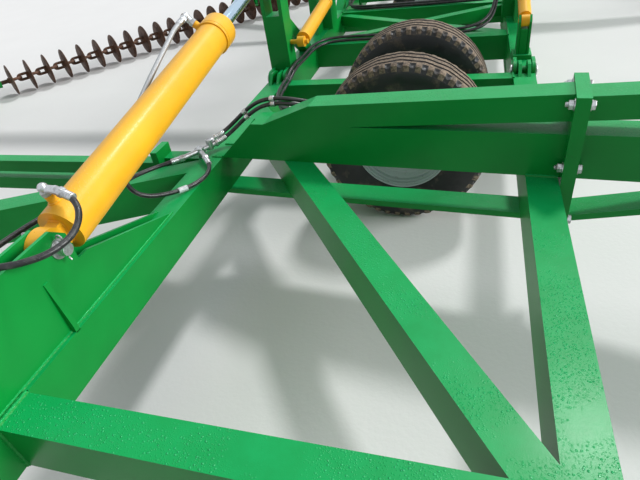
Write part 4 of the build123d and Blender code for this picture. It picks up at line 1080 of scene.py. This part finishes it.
class HARROW_OT_cylinders(HarrowOperator, bpy.types.Operator):
    """Adds the cylinders' glands, weld rings, pins and rods"""
    bl_idname = "harrow.cylinders"
    bl_label = "Cylinders"

    def make(self, sizes, colours):
        for name, side in SIDES:
            base, eye, along = barrel_axis(side)
            mouth = base + along * BARREL_LENGTH
            shape = Shape()
            shape.turned(gland_profile(GLAND_RADIUS, ROD_RADIUS, 0.118), mouth, along, 64)
            up = along.cross(Vector((1, 0, 0)))
            weld(shape, [base + along * NECK_END + Vector((x, 0, 0)) + up * lift for x, lift in rectangle(*NECK)],
                 0.006)
            for index in range(len(PORTS)):
                root, outward = port(index, side)
                self.add_weld_ring(shape, root + outward * BARREL_RADIUS, outward, 0.021, 0.005)
            piece(shape, f"{name}_gland", f"{name}_barrel", "yellow_paint", turn=28)
            shape = Shape()
            for way in (-1, 1):
                split_pin_end(shape, base + Vector((way * LUG_FACE, 0, 0)), Vector((way, 0, 0)))
            piece(shape, f"{name}_base_pins", f"{name}_wing", "zinc")
            shape = Shape()
            for way in (-1, 1):
                face, edge = REAR_X + way * LUG_FACE, REAR_X + way * ARM_WIDE / 2
                weld(shape, [mirrored((face, out, ARM_TOP), side) for out in LUG_ENDS], sizes.weld_radius * 0.8,
                     closed=False)
                rib = [mirrored((x, LUG_RIB_OUT, z), side) for x, z in (
                    (face - way * 0.004, ARM_TOP - 0.004), (edge, ARM_TOP - 0.004), (edge, ARM_TOP + 0.04),
                    (face + way * 0.004, 0.94), (face - way * 0.004, 0.94))]
                shape.slab(rib, (0, side * 0.02, 0))
            piece(shape, f"{name}_lug_ribs", f"{name}_wing", "green_paint")
        shape, rods, collars = Shape(), Shape(), Shape()
        for name, side in SIDES:
            eye = barrel_axis(side)[1]
            for way in (-1, 1):
                pin_head(shape, eye + Vector((way * FORK_FACE, 0, 0)), (way, 0, 0), PIN_RADIUS)
            for x, eyes, radius in LINKS:
                outer, inner = (Vector((x, side * out, z)) for out, z in eyes)
                run = inner - outer
                end = outer + run * 0.68
                rod = radius * 0.46
                collars.turned(gland_profile(radius * 1.06, rod, 0.05), end, run, 40)
                rods.bar(end, run, 0, run.length * 0.32 - 0.034, rod, 32)
        piece(shape, "eye_pins", "centre", "zinc", edge=0.001)
        shape = Shape()
        for name, side in SIDES:
            for half, outline in LINK_BLOCKS:
                shape.slab([mirrored((FRONT_X - half, out, z), side) for out, z in outline], (2 * half, 0, 0))
        piece(shape, "link_blocks", "centre", "green_paint", edge=0.004)
        piece(collars, "link_glands", "centre", "yellow_paint", turn=28)
        piece(rods, "link_rods", "centre", "chrome")

    def add_weld_ring(self, shape, middle, axis, radius, bead):
        axis = axis.normalized()
        across = axis.orthogonal().normalized()
        count = max(24, int(tau * radius / 0.005))
        path = circle(middle, across, axis.cross(across), radius, count)
        shape.tube(path, bead, 8, loop=True, waves=[1 + 0.16 * sin(n * 2.1) for n in range(count)])


# Pins, nuts and small fittings

HINGE_OUT = 1.36
HINGE_FACE = 0.068
CASTOR_NUT_SEAT = 0.777
TIP_AXLE_FACE = 0.1


class HARROW_OT_fittings(HarrowOperator, bpy.types.Operator):
    """Adds the hinge pins' heads, the castors' nuts and the grease nipples"""
    bl_idname = "harrow.fittings"
    bl_label = "Pins and nuts"

    def make(self, sizes, colours):
        shape = Shape()
        for name, side in SIDES:
            for x in (REAR_X, FRONT_X):
                for way in (-1, 1):
                    seat = (x + way * HINGE_FACE, side * HINGE_OUT, ARM_TOP)
                    pin_head(shape, seat, (way, 0, 0), PIN_RADIUS)
            castor = Shape()
            castor.bolt_nut(mirrored((*CASTOR, CASTOR_NUT_SEAT), side), (0, 0, 1), 0.028)
            for way in (-1, 1):
                seat = Vector(tip_wheel_centre(side)) + Vector((0, way * TIP_AXLE_FACE, 0))
                castor.bolt_nut(seat, (0, way, 0), 0.018)
            piece(castor, f"{name}_castor_nuts", f"{name}_castor", "zinc")
            nipple = Shape()
            self.add_nipple(nipple, Vector((CASTOR[0] + 0.058, side * CASTOR[1], 0.66)), Vector((1, 0, 0.4)))
            piece(nipple, f"{name}_grease_nipple", f"{name}_wing", "zinc")
        piece(shape, "hinge_pins", "centre", "zinc", edge=0.001)

    def add_nipple(self, shape, seat, axis):
        shape.turned([(0, 0), (0, 0.007), (0.006, 0.007), (0.006, 0.004), (0.012, 0.004), (0.014, 0.0052),
                      (0.018, 0.0045), (0.02, 0.002), (0.02, 0)], seat, axis, 12)


class HARROW_PT_panel(bpy.types.Panel):
    """Lists the harrow's operators and values"""
    bl_idname = "HARROW_PT_panel"
    bl_label = "Disc chain harrow"
    bl_space_type = "VIEW_3D"
    bl_region_type = "UI"
    bl_category = "Harrow"

    def draw(self, context):
        column = self.layout.column()
        for operator in OPERATORS:
            column.operator(operator.bl_idname)
        for values in (context.scene.harrow_sizes, context.scene.harrow_colours):
            for name in values.__annotations__:
                column.prop(values, name)


OPERATORS = (
    HARROW_OT_stage, HARROW_OT_finishes, HARROW_OT_welds, HARROW_OT_bolts, HARROW_OT_tyres, HARROW_OT_wheels,
    HARROW_OT_chains, HARROW_OT_hoses, HARROW_OT_cylinders, HARROW_OT_fittings)
CLASSES = (HarrowSizes, HarrowColours) + OPERATORS + (HARROW_PT_panel,)


def register():
    for made in CLASSES:
        bpy.utils.register_class(made)
    bpy.types.Scene.harrow_sizes = bpy.props.PointerProperty(type=HarrowSizes)
    bpy.types.Scene.harrow_colours = bpy.props.PointerProperty(type=HarrowColours)


def unregister():
    del bpy.types.Scene.harrow_colours
    del bpy.types.Scene.harrow_sizes
    for made in reversed(CLASSES):
        bpy.utils.unregister_class(made)


def main():
    register()
    for operator in OPERATORS:
        group, name = operator.bl_idname.split(".")
        getattr(getattr(bpy.ops, group), name)()


if __name__ == "__main__":
    main()
